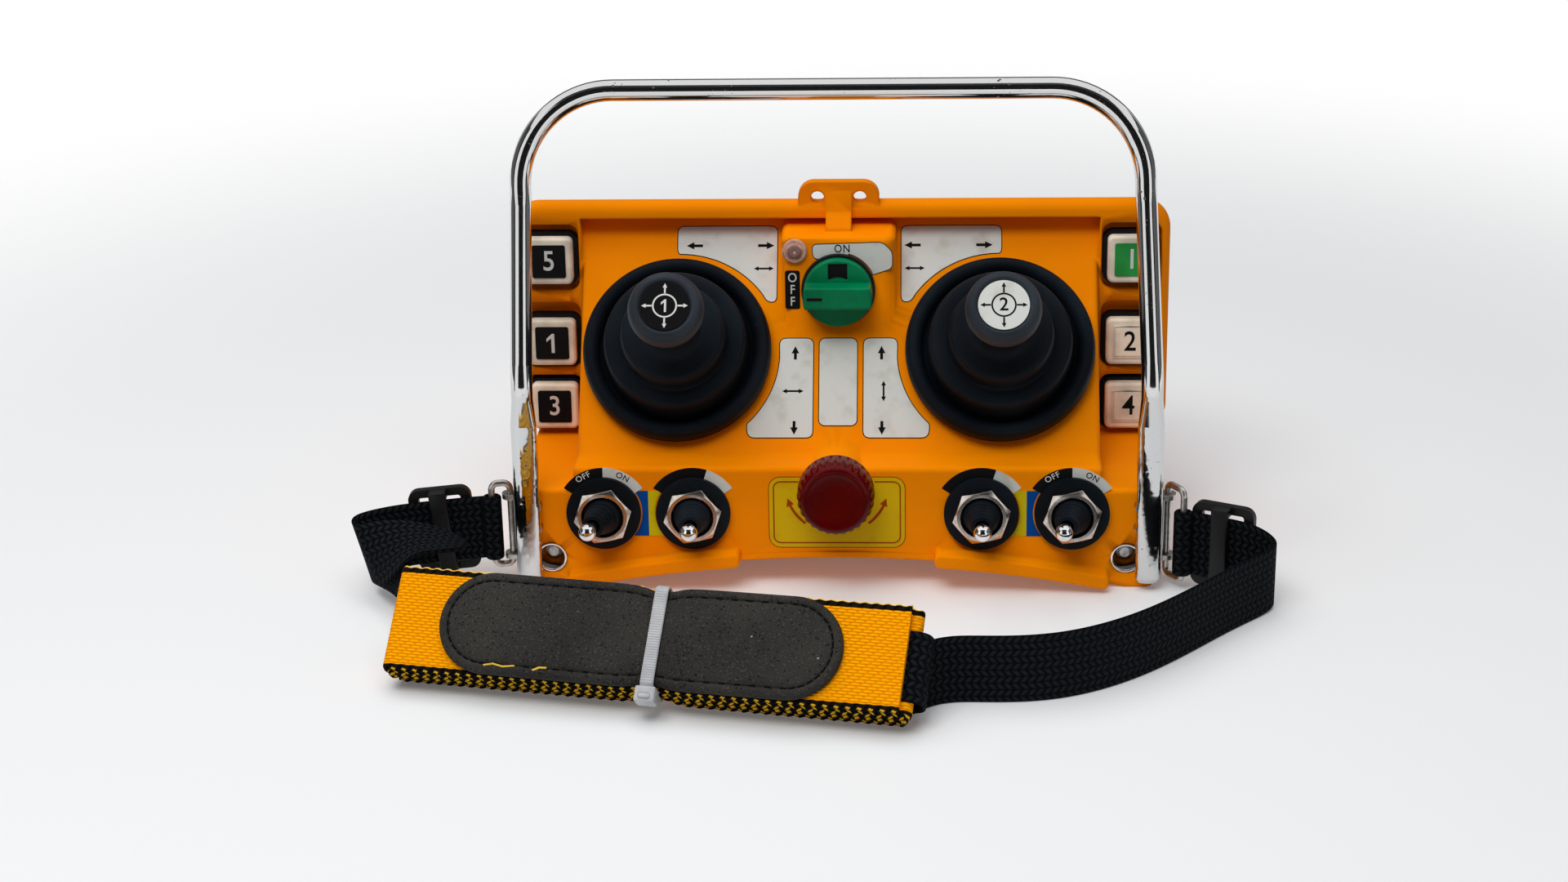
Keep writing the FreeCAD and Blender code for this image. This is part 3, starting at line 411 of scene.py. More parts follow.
def arc(x, y, r, start, end, count=16):
    turns = [math.radians(start + (end - start) * i / count) for i in range(count + 1)]
    return [(x + r * math.cos(t), y + r * math.sin(t)) for t in turns]


def moved(outline, x, y, turn=0.0):
    c, s = math.cos(math.radians(turn)), math.sin(math.radians(turn))
    return [(x + c * px - s * py, y + s * px + c * py) for px, py in outline]


def arrow(x, y, length, turn, thick, two_heads=False):
    """An arrow that points along its turn, counted from the right, or both ways along it."""
    head = 2.6 * thick
    half = length / 2
    tail = [(-half, -thick / 2)]
    if two_heads:
        tail = [(-half, 0), (head - half, -0.5 * head), (head - half, -thick / 2)]
    side = tail + [(half - head, -thick / 2), (half - head, -0.5 * head), (half, 0)]
    return moved(side + [(px, -py) for px, py in side[::-1] if py], x, y, turn)


def lettering(name, words, height, at, made, narrow=1.0):
    """Plain printed characters in the middle of a frame's origin, their height in millimetres."""
    ink, capital_share, spacing, bolder = 0.03, 0.7, 1.12, 0.014
    if words == "1":
        figure = [(-0.04, -0.5), (0.12, -0.5), (0.12, 0.5), (0.0, 0.5), (-0.28, 0.24), (-0.28, 0.07),
                  (-0.04, 0.26)]
        outline = [(x * height, y * height) for x, y in figure]
        return plates(name, [outline], -ink, ink, at, made)
    curve = bpy.data.curves.new(name, "FONT")
    curve.body = words
    curve.align_x = "CENTER"
    curve.align_y = "CENTER"
    curve.size = height * mm / capital_share
    curve.space_character = spacing
    curve.offset = bolder * height * mm
    curve.extrude = ink * mm
    source = bpy.data.objects.new(name, curve)
    bpy.context.collection.objects.link(source)
    bpy.context.view_layer.update()
    mesh = bpy.data.meshes.new_from_object(source)
    bpy.data.objects.remove(source)
    mesh.transform(at @ Matrix.Diagonal((narrow, 1, 1, 1)))
    return shown(name, mesh, made)


def soft_rubber(s):
    cloud = s.noise(28.0, 4.0)
    lint = s.specks(420.0, 0.08) * s.noise(60.0).step(0.54, 0.68)
    grain = s.noise(2200.0, 2.0)
    dusty = cloud.step(0.35, 0.8).mix(srgb(11, 15, 20), srgb(21, 28, 35))
    return {
        "Base Color": (0.3 * lint).mix(dusty, srgb(110, 110, 108)),
        "Roughness": 0.4 + 0.2 * cloud,
        "Specular IOR Level": 0.1,
        "Normal": grain.bump(0.00003, 0.5),
    }


rubber = material("black rubber", soft_rubber)
dress("black_rubber", rubber)
dress("boot_rubber", rubber)


def knob_moulding(s):
    cloud = s.noise(50.0, 4.0)
    grain = s.noise(1500.0, 3.0)
    return {
        "Base Color": cloud.step(0.3, 0.8).mix(srgb(32, 37, 43), srgb(46, 52, 59)),
        "Roughness": 0.42 + 0.15 * cloud,
        "Specular IOR Level": 0.2,
        "Normal": grain.bump(0.00003, 0.5),
    }


knob_plastic = material("knob plastic", knob_moulding)
dress("knob_plastic", knob_plastic)


def print_ink(name, red, green, blue, rough=0.4):
    """A printed or sheet surface with faint soiling."""
    def make(s):
        soil = s.noise(120.0, 5.0)
        one = srgb(red, green, blue)
        other = srgb(red * 0.9, green * 0.89, blue * 0.86)
        return {
            "Base Color": soil.step(0.5, 0.8).mix(one, other),
            "Roughness": rough + 0.15 * soil,
            "Specular IOR Level": 0.08,
            "Normal": s.noise(1500.0).bump(0.00001, 0.4),
        }
    return material(name, make)


white_print = print_ink("white label", 212, 213, 208)
black_print = print_ink("black label", 16, 16, 18)

stick_x = 60.5
stick_up = 28.6
disc_high, disc_thick, mark_low, mark_top, number_up = 57.6, 0.5, 0.45, 0.56, 0.53
disc_radius, circle_out, circle_in, way_radius, way_long, way_thick = 9.2, 4.5, 3.9, 6.5, 3.8, 0.62
ring_profile = rounded_line([
    (27.6, 0.2), (35.2, 0.0), (35.6, 5.6), (34.4, 8.6), (31.6, 9.2), (29.6, 7.6), (29.0, 4.6), (28.2, 4.0),
    (27.6, 0.2)])
lower_bellows = rounded_line([
    (28.6, 3.4), (27.6, 4.0), (27.0, 6.4), (26.6, 16.2), (25.6, 18.2), (22.8, 18.6), (20.6, 18.4)])
upper_bellows = rounded_line([
    (20.6, 18.4), (19.6, 19.6), (19.4, 25.2), (18.4, 27.4), (15.4, 28.0), (11.6, 28.6), (9.2, 30.6),
    (8.4, 34.0), (8.2, 40.2), (5.3, 40.2)])
knob_profile = rounded_line([
    (5.1, 40.6), (8.2, 40.5), (8.5, 43.6), (10.0, 46.4), (13.0, 49.2), (13.9, 52.0), (13.7, 55.0),
    (12.6, 57.4), (10.6, 58.3), (9.8, 58.0), (9.4, disc_high)]) + [(0.0, disc_high)]


def over(seat, height):
    """A point that many millimetres over a seat."""
    return seat @ Vector((0, 0, height * mm))


for side, sign, number, disc_print, mark_print in (("left", -1, "1", black_print, white_print),
                                                   ("right", 1, "2", white_print, black_print)):
    seat = shifted(panel, sign * stick_x, stick_up)
    top = shifted(seat, 0, 0, disc_high)
    ring = turned(side + "_gaiter_ring", ring_profile, seat, rubber)
    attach(ring, "case")
    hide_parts(side + "_gaiter")
    lower = turned(side + "_gaiter_lower_step", lower_bellows, seat, rubber)
    side + "_gimbal"
    over(seat, 4)
    over(seat, 18.2)
    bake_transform(lower)
    upper = turned(side + "_gaiter_upper_step", upper_bellows, seat, rubber)
    side + "_gimbal"
    side + "_stick"
    over(seat, 18.6)
    over(seat, 32)
    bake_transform(upper)
    knob = turned(side + "_stick_grip", knob_profile, seat, knob_plastic)
    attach(knob, side + "_stick")
    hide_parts(side + "_knob")
    edge = arc(0, 0, disc_radius, 0, 360, 63)[:-1]
    disc = plates(side + "_disc", [edge], 0.0, disc_thick, top, disc_print)
    circle = [arc(0, 0, circle_out, a, a + 180, 24) + arc(0, 0, circle_in, a + 180, a, 24)
              for a in (0, 180)]
    ways = [arrow(way_radius * math.cos(t), way_radius * math.sin(t), way_long, math.degrees(t), way_thick)
            for t in (0, math.pi / 2, math.pi, 1.5 * math.pi)]
    marks = plates(side + "_disc_marks", circle + ways, mark_low, mark_top, top, mark_print)
    digit = lettering(side + "_disc_number", number, 4.8, shifted(top, 0, 0, number_up), mark_print)
    for piece in (disc, marks, digit):
        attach(piece, side + "_stick")


# Panel labels: white sheets beside the joysticks, cut round the gaiters, with a
# thin dark edge and plain arrows printed on them.
label_under, label_top, edge_top, edge_wide = -0.05, 0.14, 0.1, 0.35
corner = 2.6
both_sides = (("left", -1), ("right", 1))


def rounded_box(x0, y0, x1, y1, r):
    return (arc(x1 - r, y0 + r, r, -90, 0, 6) + arc(x1 - r, y1 - r, r, 0, 90, 6)
            + arc(x0 + r, y1 - r, r, 90, 180, 6) + arc(x0 + r, y0 + r, r, 180, 270, 6))


def softened(outline, r):
    """A closed outline with its corners cut back by up to r and rounded."""
    result = []
    n = len(outline)
    for i in range(n):
        a, b, c = (Vector(outline[k % n]) for k in (i - 1, i, i + 1))
        cut_in = b + (a - b).normalized() * min(r, (a - b).length * 0.5)
        cut_out = b + (c - b).normalized() * min(r, (c - b).length * 0.5)
        if (b - a).normalized().dot((c - b).normalized()) > 0.9:
            result.append(tuple(b))
            continue
        for k in range(6):
            t = k / 5
            result.append(tuple(cut_in * (1 - t) ** 2 + b * 2 * t * (1 - t) + cut_out * t * t))
    return result


def grown(outline, d):
    """A closed outline moved outwards by d."""
    n = len(outline)
    turning = sum(a[0] * b[1] - b[0] * a[1] for a, b in zip(outline, outline[1:] + outline[:1]))
    way = 1 if turning > 0 else -1
    result = []
    for i in range(n):
        along = (Vector(outline[(i + 1) % n]) - Vector(outline[i - 1])).normalized()
        result.append((outline[i][0] + way * d * along.y, outline[i][1] - way * d * along.x))
    return result


def cut_round(sign, r, start, end):
    """An arc about a joystick, its angles counted from the panel's middle upwards."""
    points = arc(stick_x, stick_up, r, 180 - start, 180 - end, 20)
    return [(sign * x, y) for x, y in points]


for side, sign in both_sides:
    upper = cut_round(sign, 39.2, 36, 88)
    upper = softened([(sign * 23.6, 78.7), (sign * 23.6, 48.6), (sign * 27.0, 48.6)] + upper
                     + [(sign * 61.4, 67.8), (sign * 61.4, 78.7)], corner)
    lower = cut_round(sign, 38.6, -47, -3)
    lower = softened([(sign * 9.5, 34.0), (sign * 9.5, -4.6), (sign * 33.6, -4.6)] + lower
                     + [(sign * 22.1, 34.0)], corner)
    sheets = plates(side + "_panel_labels", [upper, lower], label_under, label_top, panel, white_print)
    edging = plates(side + "_panel_label_edges", [grown(upper, edge_wide), grown(lower, edge_wide)],
                    label_under, edge_top, panel, black_print)
    signs = [arrow(sign * 55.0, 71.0, 6.2, 90 - 90 * sign, 1.1),
             arrow(sign * 27.8, 71.0, 6.2, 90 + 90 * sign, 1.1),
             arrow(sign * 28.6, 61.8, 7.6, 0, 0.7, two_heads=True),
             arrow(sign * 16.2, 28.4, 5.3, 90, 1.1),
             arrow(sign * 16.4, -0.9, 5.3, -90, 1.1),
             arrow(sign * 17.0, 13.4, 8.0, 0 if sign < 0 else 90, 0.7, two_heads=True)]
    printed = plates(side + "_panel_arrows", signs, 0.1, 0.18, panel, black_print)
    for piece in (sheets, edging, printed):
        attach(piece, "case")
blank_sheet = rounded_box(-7.1, 0.1, 7.0, 34.0, 2.2)
blank = plates("middle_panel_label", [blank_sheet], label_under, label_top, panel, white_print)
blank_edge = plates("middle_panel_label_edge", [grown(blank_sheet, edge_wide)], label_under, edge_top,
                    panel, black_print)
for piece in (blank, blank_edge):
    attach(piece, "case")


# Switch pod: a green knob with a bar grip on a black bezel, between an OFF and
# an ON label, and a milky signal lens.
def glossy(name, red, green, blue, rough=0.25, soft_edge=0.5, shine=0.3):
    """A smooth moulding that handling has rubbed unevenly."""
    def make(s):
        wear = s.noise(90.0, 4.0)
        one = srgb(red, green, blue)
        other = srgb(red * 0.82, green * 0.82, blue * 0.82)
        return {
            "Base Color": wear.step(0.35, 0.75).mix(one, other),
            "Roughness": rough + 0.2 * wear,
            "Specular IOR Level": shine,
            "Normal": s.noise(900.0, 2.0).bump(0.00002, 0.4, soft_edge * mm),
        }
    return material(name, make)


green_knob = glossy("green knob", 0, 122, 76, shine=0.1)
dress("knob_green", green_knob)
rotary_up = 100.2
sheet_top, print_high, letter_narrow = 0.15, 0.17, 0.85
rotary = shifted(pod, 0, rotary_up)
on_sheet = softened([(-9.6, 117.4), (16.6, 118.2), (20.2, 114.6), (20.2, 108.3), (12.6, 105.8)]
                    + arc(0, rotary_up, 14.4, 25, 75, 10) + [(3.4, 112.0), (-9.2, 112.1)], 1.8)
off_sheet = rounded_box(-20.0, 92.6, -14.4, 107.5, 0.9)
on_edge = plates("on_label_edge", [grown(on_sheet, 0.3)], label_under, edge_top, pod, black_print)
on_label = plates("on_label", [on_sheet], label_under, sheet_top, pod, white_print)
off_label = plates("off_label", [off_sheet], label_under, sheet_top, pod, black_print)
on_at = shifted(pod, 1.6, 115.8, print_high)
letters = [lettering("on_letters", "ON", 3.0, on_at, black_print, letter_narrow)]
for i, letter in enumerate("OFF"):
    at = shifted(pod, -17.2, 104.6 - 4.6 * i, print_high)
    letters.append(lettering("off_letter_%d" % (i + 1), letter, 3.5, at, white_print, letter_narrow))
for piece in [on_edge, on_label, off_label] + letters:
    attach(piece, "case")
window = [(3.5, 11.4), (-3.5, 11.4)] + arc(0, 0, 6.4, 123, 57, 10)
dark = plates("knob_window", [window], 5.5, 5.9, rotary, black_print)
pointer_line = rounded_box(-11.4, -0.6, -5.6, 0.6, 0.3)
pointer = plates("knob_pointer", [pointer_line], 14.5, 14.68, rotary, black_print)
for piece in (dark, pointer):
    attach(piece, "rotary_knob")


def milky(s):
    haze = s.noise(600.0, 3.0)
    return {
        "Base Color": haze.step(0.3, 0.8).mix(srgb(206, 156, 132), srgb(178, 126, 108)),
        "Roughness": 0.12 + 0.1 * haze,
        "Subsurface Weight": 0.3,
        "Subsurface Radius": (0.002, 0.001, 0.0008),
        "Coat Weight": 0.6,
        "Coat Roughness": 0.05,
    }


lens_seat = shifted(pod, -16.2, 115.1)
lens_profile = rounded_line([
    (3.7, -4.9), (3.7, 0.0), (4.7, 0.0), (4.8, 0.9), (4.0, 1.5), (3.5, 1.4), (3.1, 1.7), (2.2, 2.3),
    (0.9, 2.5)]) + [(0.0, 2.5)]
lens = turned("signal_lens", lens_profile, lens_seat, material("milky lens", milky), 48)
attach(lens, "case")
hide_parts("status_lens")
core_profile = rounded_line([(2.7, 1.8), (2.6, 2.2), (1.8, 2.66), (1.1, 2.76), (0.6, 2.5)]) + [(0.0, 2.4)]
glow = turned("signal_lens_core", core_profile, lens_seat, glossy("lens core", 134, 100, 94, 0.12), 32)
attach(glow, "case")


# Keys: cream caps in rubber frames. The left ones carry black tiles with a white
# number. The right ones carry a green tile with a bar, and two cream tiles with a
# groove and a number.
cream = glossy("cream key", 248, 234, 212, 0.4, 0.9)
dress("key_cream", cream)
key_green = glossy("green key mark", 30, 150, 62, 0.4)
key_x = 110.2
key_rows = (("top", 107.6), ("middle", 75.4), ("bottom", 49.9))
key_face = 4.6
tile_half, tile_low, tile_top, groove_out, groove_in = 6.4, -0.2, 0.35, 5.9, 5.7
figure_high, figure_up, figure_narrow = 7.6, 0.37, 0.9
cap_marks = {
    "left_key_top": ("5", black_print, white_print),
    "left_key_middle": ("1", black_print, white_print),
    "left_key_bottom": ("3", black_print, white_print),
    "right_key_top": ("I", key_green, white_print),
    "right_key_middle": ("2", cream, black_print),
    "right_key_bottom": ("4", cream, black_print),
}
for side, sign in both_sides:
    for row, up in key_rows:
        key = side + "_key_" + row
        number, square, ink = cap_marks[key]
        cap = shifted(wings, sign * key_x, up, key_face)
        printed_at = shifted(cap, 0, 0, figure_up)
        digit = lettering(key + "_number", number, figure_high, printed_at, ink, figure_narrow)
        if square is cream:
            half = [(0, -tile_half), (tile_half, -tile_half), (tile_half, tile_half), (0, tile_half),
                    (0, groove_out), (groove_out, groove_out), (groove_out, -groove_out), (0, -groove_out)]
            outlines = [half, [(-x, y) for x, y in half[::-1]],
                        rounded_box(-groove_in, -groove_in, groove_in, groove_in, 0.6)]
        else:
            outlines = [rounded_box(-tile_half, -tile_half, tile_half, tile_half, 0.9)]
        tile = plates(key + "_tile", outlines, tile_low, tile_top, cap, square)
        for piece in (tile, digit):
            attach(piece, key)


# Stop button: a red mushroom cap with a fluted edge and a hollowed face, over a
# yellow plate with a red line and two arrows that show how it is released.
stop_up = 40.0
flutes, flute_deep, flute_foot, flute_top, skirt_inside = 28, 0.75, 7.0, 17.6, 13.0


def fluted(r, h, turn):
    """The cap's radius, cut in by flutes that run out at both ends."""
    deep = max(0.0, min(1.0, (h - flute_foot) / 2.0)) * max(0.0, min(1.0, (flute_top - h) / 2.2))
    return r - flute_deep * deep * abs(math.sin(flutes / 2 * turn)) ** 3 if r > skirt_inside else r


red_cap = glossy("red cap", 88, 0, 3, 0.16, 0.0, 0.16)
stop = shifted(wall, 0, stop_up)
cap_profile = rounded_line([(6.1, 10.4), (11.8, 10.4), (12.5, 10.2), (12.5, 6.4), (13.6, 6.2), (14.2, 7.4),
                            (14.3, 13.6), (13.6, 16.4), (12.2, 18.2), (10.8, 18.6), (9.0, 18.0),
                            (6.0, 17.6)]) + [(0.0, 17.5)]
cap = turned("stop_button_cap", cap_profile, stop, red_cap, 336, fluted)
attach(cap, "stop_cap")
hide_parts("stop_cap")
dress("stop_red", red_cap)
yellow_print = print_ink("yellow plate", 214, 176, 10)
red_print = print_ink("red print", 160, 64, 6)
hole = arc(0, stop_up, 12.0, 14, -194, 40)
plate_half, plate_low, plate_high, plate_round = 25.0, 15.7, 42.9, 4.2
line_inset, line_wide, line_end = 1.4, 0.5, 14.0


def plate_corners(inset=0.0):
    """The plate's corners, moved in by some millimetres: lower left and right, upper right and left."""
    x, low, high = plate_half - plate_round, plate_low + plate_round, plate_high - plate_round
    places = ((-x, low, 180), (x, low, 270), (x, high, 0), (-x, high, 90))
    return [arc(px, py, plate_round - inset, start, start + 90, 6) for px, py, start in places]


def plate_line(inset):
    """A line inside the plate's edge, from one side of the boss round to the other."""
    lower_left, lower_right, upper_right, upper_left = plate_corners(inset)
    top = plate_high - inset
    return [(-line_end, top)] + upper_left + lower_left + lower_right + upper_right + [(line_end, top)]


lower_left, lower_right, upper_right, upper_left = plate_corners()
plate_outline = lower_right + upper_right + hole + upper_left + lower_left
sheet = plates("stop_plate", [plate_outline], label_under, 0.2, wall, yellow_print)
sheet_edge = plates("stop_plate_edge", [grown(plate_outline, 0.3)], label_under, 0.15, wall, red_print)


def curved_arrow(start, end):
    """An arrow bent round the stop button."""
    r, thick, head_wide, head_long = 19.0, 0.5, 1.5, 9.0
    tip = end + math.copysign(head_long, end - start)
    return (arc(0, stop_up, r + thick, start, end) + arc(0, stop_up, r + head_wide, end, end, 1)[:1]
            + arc(0, stop_up, r, tip, tip, 1)[:1] + arc(0, stop_up, r - head_wide, end, end, 1)[:1]
            + arc(0, stop_up, r - thick, end, start))


red_outlines = [plate_line(line_inset)[::-1] + plate_line(line_inset + line_wide), curved_arrow(232, 205),
                curved_arrow(308, 335)]
red_lines = plates("stop_plate_print", red_outlines, 0.12, 0.26, wall, red_print)
for piece in (sheet, sheet_edge, red_lines):
    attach(piece, "case")


# Toggle switches: a chromed lever in a ribbed rubber boot, held by a bright
# hexagon nut on a rubber washer, under a curved label.
def nickel(s):
    stain = s.noise(500.0, 3.0)
    return {
        "Base Color": stain.step(0.4, 0.8).mix(srgb(218, 210, 202), srgb(184, 174, 164)),
        "Metallic": 1.0,
        "Roughness": 0.12 + 0.16 * stain,
        "Normal": stain.bump(0.00002, 0.3, 0.35 * mm),
    }


def bright_chrome(s):
    return {
        "Base Color": s.noise(300.0).step(0.4, 0.8).mix(srgb(236, 236, 238), srgb(212, 212, 214)),
        "Metallic": 1.0,
        "Roughness": 0.05 + 0.08 * s.noise(200.0, 3.0),
    }


dress("nut_metal", material("nickel", nickel))
bright = material("bright chrome", bright_chrome)
toggle_up, pivot_high, word_radius = 29.2, 3.0, 15.6
boot_profile = rounded_line([
    (6.2, 0.5), (7.1, 0.6), (7.1, 4.8), (6.6, 6.4), (5.7, 7.0), (5.9, 8.0), (5.2, 9.0), (5.4, 10.0),
    (4.7, 11.0), (4.8, 12.0), (4.2, 12.8), (4.3, 14.8), (3.9, 15.6), (2.6, 15.7)])


def label_arc(start, end):
    """A part of the curved label over a toggle."""
    return arc(0, 0, 17.4, start, end, 20) + arc(0, 0, 13.0, end, start, 20)


toggles = ((1, -86.4, -11.5), (2, -53.2, 0.0), (3, 53.2, 0.0), (4, 86.4, -11.5))
for i, x, rest in toggles:
    lever = "toggle_lever_%d" % i
    seat = shifted(wall, x, toggle_up)
    pivot = Matrix.Translation((0, 0, pivot_high * mm))
    leaning = pivot @ Matrix.Rotation(math.radians(rest), 4, "Y") @ pivot.inverted()
    boot = turned("toggle_boot_skin_%d" % i, boot_profile, Matrix(), rubber, 64)
    for v in boot.data.vertices:
        share = max(0.0, min(1.0, (v.co.z / mm - 4.0) / 5.0))
        v.co = seat @ v.co.lerp(leaning @ v.co, share)
    over(seat, 4)
    over(seat, 9)
    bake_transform(boot)
    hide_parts("toggle_boot_%d" % i)
    node = frame["nodes"][lever]
    node.data.materials.clear()
    node.data.materials.append(bright)
    split = 90 if i in (1, 4) else 72
    dark, pale = label_arc(147, split), label_arc(split, 33)
    halves = [plates("toggle_label_%d_dark" % i, [dark], label_under, sheet_top, seat, black_print),
              plates("toggle_label_%d_pale" % i, [pale], label_under, sheet_top, seat, white_print)]
    if i in (1, 4):
        for word, turn, ink in (("OFF", 118, white_print), ("ON", 62, black_print)):
            t = math.radians(turn)
            at = shifted(seat, word_radius * math.cos(t), word_radius * math.sin(t), print_high)
            at = at @ Matrix.Rotation(t - math.pi / 2, 4, "Z")
            halves.append(lettering("toggle_%d_%s" % (i, word.lower()), word, 2.2, at, ink))
    for piece in halves:
        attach(piece, "case")


# Tags: a two-coloured sheet between each pair of toggles, blue on the outer side
# and yellow on the inner one, cut round the washers.
blue_print = print_ink("blue tag", 0, 70, 150)
tag_yellow = print_ink("yellow tag", 205, 186, 10)
tag_half, tag_low, tag_high, washer_round = 16.6, 20.0, 17.6, 14.3
for pair, x, left, right in (("a", -69.8, blue_print, tag_yellow), ("b", 69.8, tag_yellow, blue_print)):
    for side, sign, made in (("left", -1, left), ("right", 1, right)):
        heights = [tag_low + tag_high * k / 16 for k in range(17)]
        cut_side = [(x + sign * (tag_half - math.sqrt(washer_round ** 2 - (y - toggle_up) ** 2)), y)
                    for y in heights]
        outline = [(x, tag_low)] + cut_side + [(x, tag_low + tag_high)]
        piece = plates("tag_%s_%s" % (pair, side), [outline], label_under, label_top, wall, made)
        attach(piece, "case")

# Screw wells: holes in the lower corners of the front wall, each lined with a
# bright plated sleeve that has a small flange.
sleeve_profile = rounded_line([
    (4.6, -7.6), (5.0, -7.6), (5.0, 0.1), (5.6, 0.2), (5.5, 0.5), (4.8, 0.4), (4.6, -0.2), (4.6, -7.6)], 1)
for side, sign in both_sides:
    well = shifted(wall, sign * 106.5, 11.5)
    sleeve = turned(side + "_well_sleeve", sleeve_profile, well, bright, 48)
    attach(sleeve, "case")


# Neck strap: black herringbone webbing from each ring, through a plastic
# adjuster, along the floor to the folded shoulder strap.
def black_weave(s):
    along = s.flat().part("X")
    across = s.flat().part("Y")
    rib = across / (2.5 * mm)
    swing = s.maths("PINGPONG", rib, 1.0)
    thread = (along / (2.7 * mm) + swing * 0.7).crest() * (0.25 + 0.75 * rib.crest())
    fuzz = s.noise(2500.0, 3.0)
    height = thread * (0.75 + 0.25 * fuzz)
    return {
        "Base Color": height.step(0.1, 0.9).mix(srgb(1, 2, 3), srgb(28, 32, 36)),
        "Roughness": 0.7 + 0.2 * fuzz,
        "Specular IOR Level": 0.08,
        "Normal": height.bump(0.0009, 1.0),
    }


black_web = material("black webbing", black_weave)
dress("web_black", black_web)


def smooth_path(points):
    """Points in metres along a smooth line that is led by points in millimetres."""
    curve = bpy.data.curves.new("route", "CURVE")
    curve.dimensions = "3D"
    spline = curve.splines.new("NURBS")
    spline.points.add(len(points) - 1)
    for p, (x, y, z) in zip(spline.points, points):
        p.co = (x * mm, y * mm, z * mm, 1)
    spline.order_u = 4
    spline.use_endpoint_u = True
    spline.resolution_u = 12
    route = bpy.data.objects.new("route", curve)
    bpy.context.collection.objects.link(route)
    bpy.context.view_layer.update()
    mesh = bpy.data.meshes.new_from_object(route)
    path = [v.co.copy() for v in mesh.vertices]
    bpy.data.objects.remove(route)
    bpy.data.meshes.remove(mesh)
    return path


def ribbon(name, path, edges, width, thick, made, shape=None, at=Matrix(), sizes=None):
    """A strap along a path. edges are the directions across it; shape bends its points."""
    half, t = width / 2 * mm, thick / 2 * mm
    columns = 12
    side = half - t
    front = [-side + 2 * side * k / columns for k in range(columns + 1)]
    bend = [math.pi / 2 * (1 - k / 3) for k in range(1, 6)]
    rim = [(side + t * math.cos(a), t * math.sin(a), side + t * (math.pi / 2 - abs(a))) for a in bend]
    section = [(w, t, w) for w in front] + rim
    section += [(w, -t, w) for w in front[::-1]] + [(-w, -h, -u) for w, h, u in rim]
    n = len(section)
    points = []
    spans = [0.0]
    for a, b in zip(path, path[1:]):
        spans.append(spans[-1] + (b - a).length)
    for i, p in enumerate(path):
        ahead = path[min(i + 1, len(path) - 1)] - path[max(i - 1, 0)]
        edge = edges[i].normalized()
        out = ahead.cross(edge).normalized()
        grow = sizes[i] if sizes else 1.0
        for w, h, _ in section:
            q = p + edge * (w * grow) + out * h
            points.append(at @ (shape(q) if shape else q))
    faces = [tuple(range(n)), tuple(range((len(path) - 1) * n, len(path) * n))[::-1]]
    faces += bands(len(path), n)
    mesh = bpy.data.meshes.new(name)
    mesh.from_pydata([tuple(p) for p in points], [], faces)
    flat = mesh.uv_layers.new(name="flat")
    for loop in mesh.loops:
        i, k = divmod(loop.vertex_index, n)
        flat.data[loop.index].uv = (spans[i], section[k][2])
    work = bmesh.new()
    work.from_mesh(mesh)
    bmesh.ops.recalc_face_normals(work, faces=work.faces)
    work.to_mesh(mesh)
    work.free()
    smoothed(mesh, 50)
    return shown(name, mesh, made), spans[-1]


web_wide, web_thick, loop_radius = 25.0, 1.7, 2.7
upright = (0.0, 0.0, 1.0)
sloping = (-0.1, 0.0, 0.995)
routes = {
    "left": ((-128.6, -45.0), [
        ((-131.4, -45.0, 21.5), upright), ((-136.0, -45.1, 21.2), sloping),
        ((-156.0, -45.3, 19.1), sloping), ((-167.0, -46.8, 17.9), sloping),
        ((-175.5, -50.5, 16.8), (-0.15, 0.1, 1.0)),
        ((-177.0, -57.0, 16.6), (-0.35, 0.35, 0.85)), ((-169.5, -64.5, 16.8), (-0.42, 0.52, 0.74)),
        ((-159.0, -73.0, 15.5), (-0.2, 0.6, 0.76)), ((-154.0, -88.0, 13.0), (0.0, 0.62, 0.76)),
        ((-153.0, -108.0, 10.0), (0.1, 0.66, 0.74)), ((-145.0, -121.0, 9.3), (0.127, 0.683, 0.719)),
        ((-127.0, -124.2, 9.3), (0.127, 0.683, 0.719))]),
    "right": ((127.0, -52.0), [
        ((129.8, -52.0, 18.5), upright), ((135.0, -54.5, 18.5), upright), ((146.0, -59.7, 18.5), upright),
        ((153.0, -63.0, 17.5), upright), ((159.4, -67.0, 14.5), upright), ((157.6, -72.4, 12.5), upright),
        ((141.0, -87.0, 12.5), upright), ((110.0, -124.1, 12.5), upright), ((78.0, -144.0, 12.5), upright),
        ((50.0, -144.0, 12.5), upright), ((36.0, -143.6, 12.5), upright), ((28.4, -153.2, 12.5), upright)]),
}
for side, (bar, route) in routes.items():
    sign = -1 if side == "left" else 1
    start = Vector(route[0][0])
    first = math.degrees(math.atan2(start.y - bar[1], start.x - bar[0]))
    round_bar = arc(*bar, loop_radius, first, first + sign * 360, 20)[:-1]
    loop = [Vector((x, y, start.z)) * mm for x, y in round_bar]
    path = loop + smooth_path([p for p, _ in route])
    edges = [Vector(upright)] * len(loop) + smooth_path([e for _, e in route])
    strap, length = ribbon(side + "_neck_strap", path, edges, web_wide, web_thick, black_web)
    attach(strap, "case")
    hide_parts(side + "_strap")
    side + "_strap_ring"

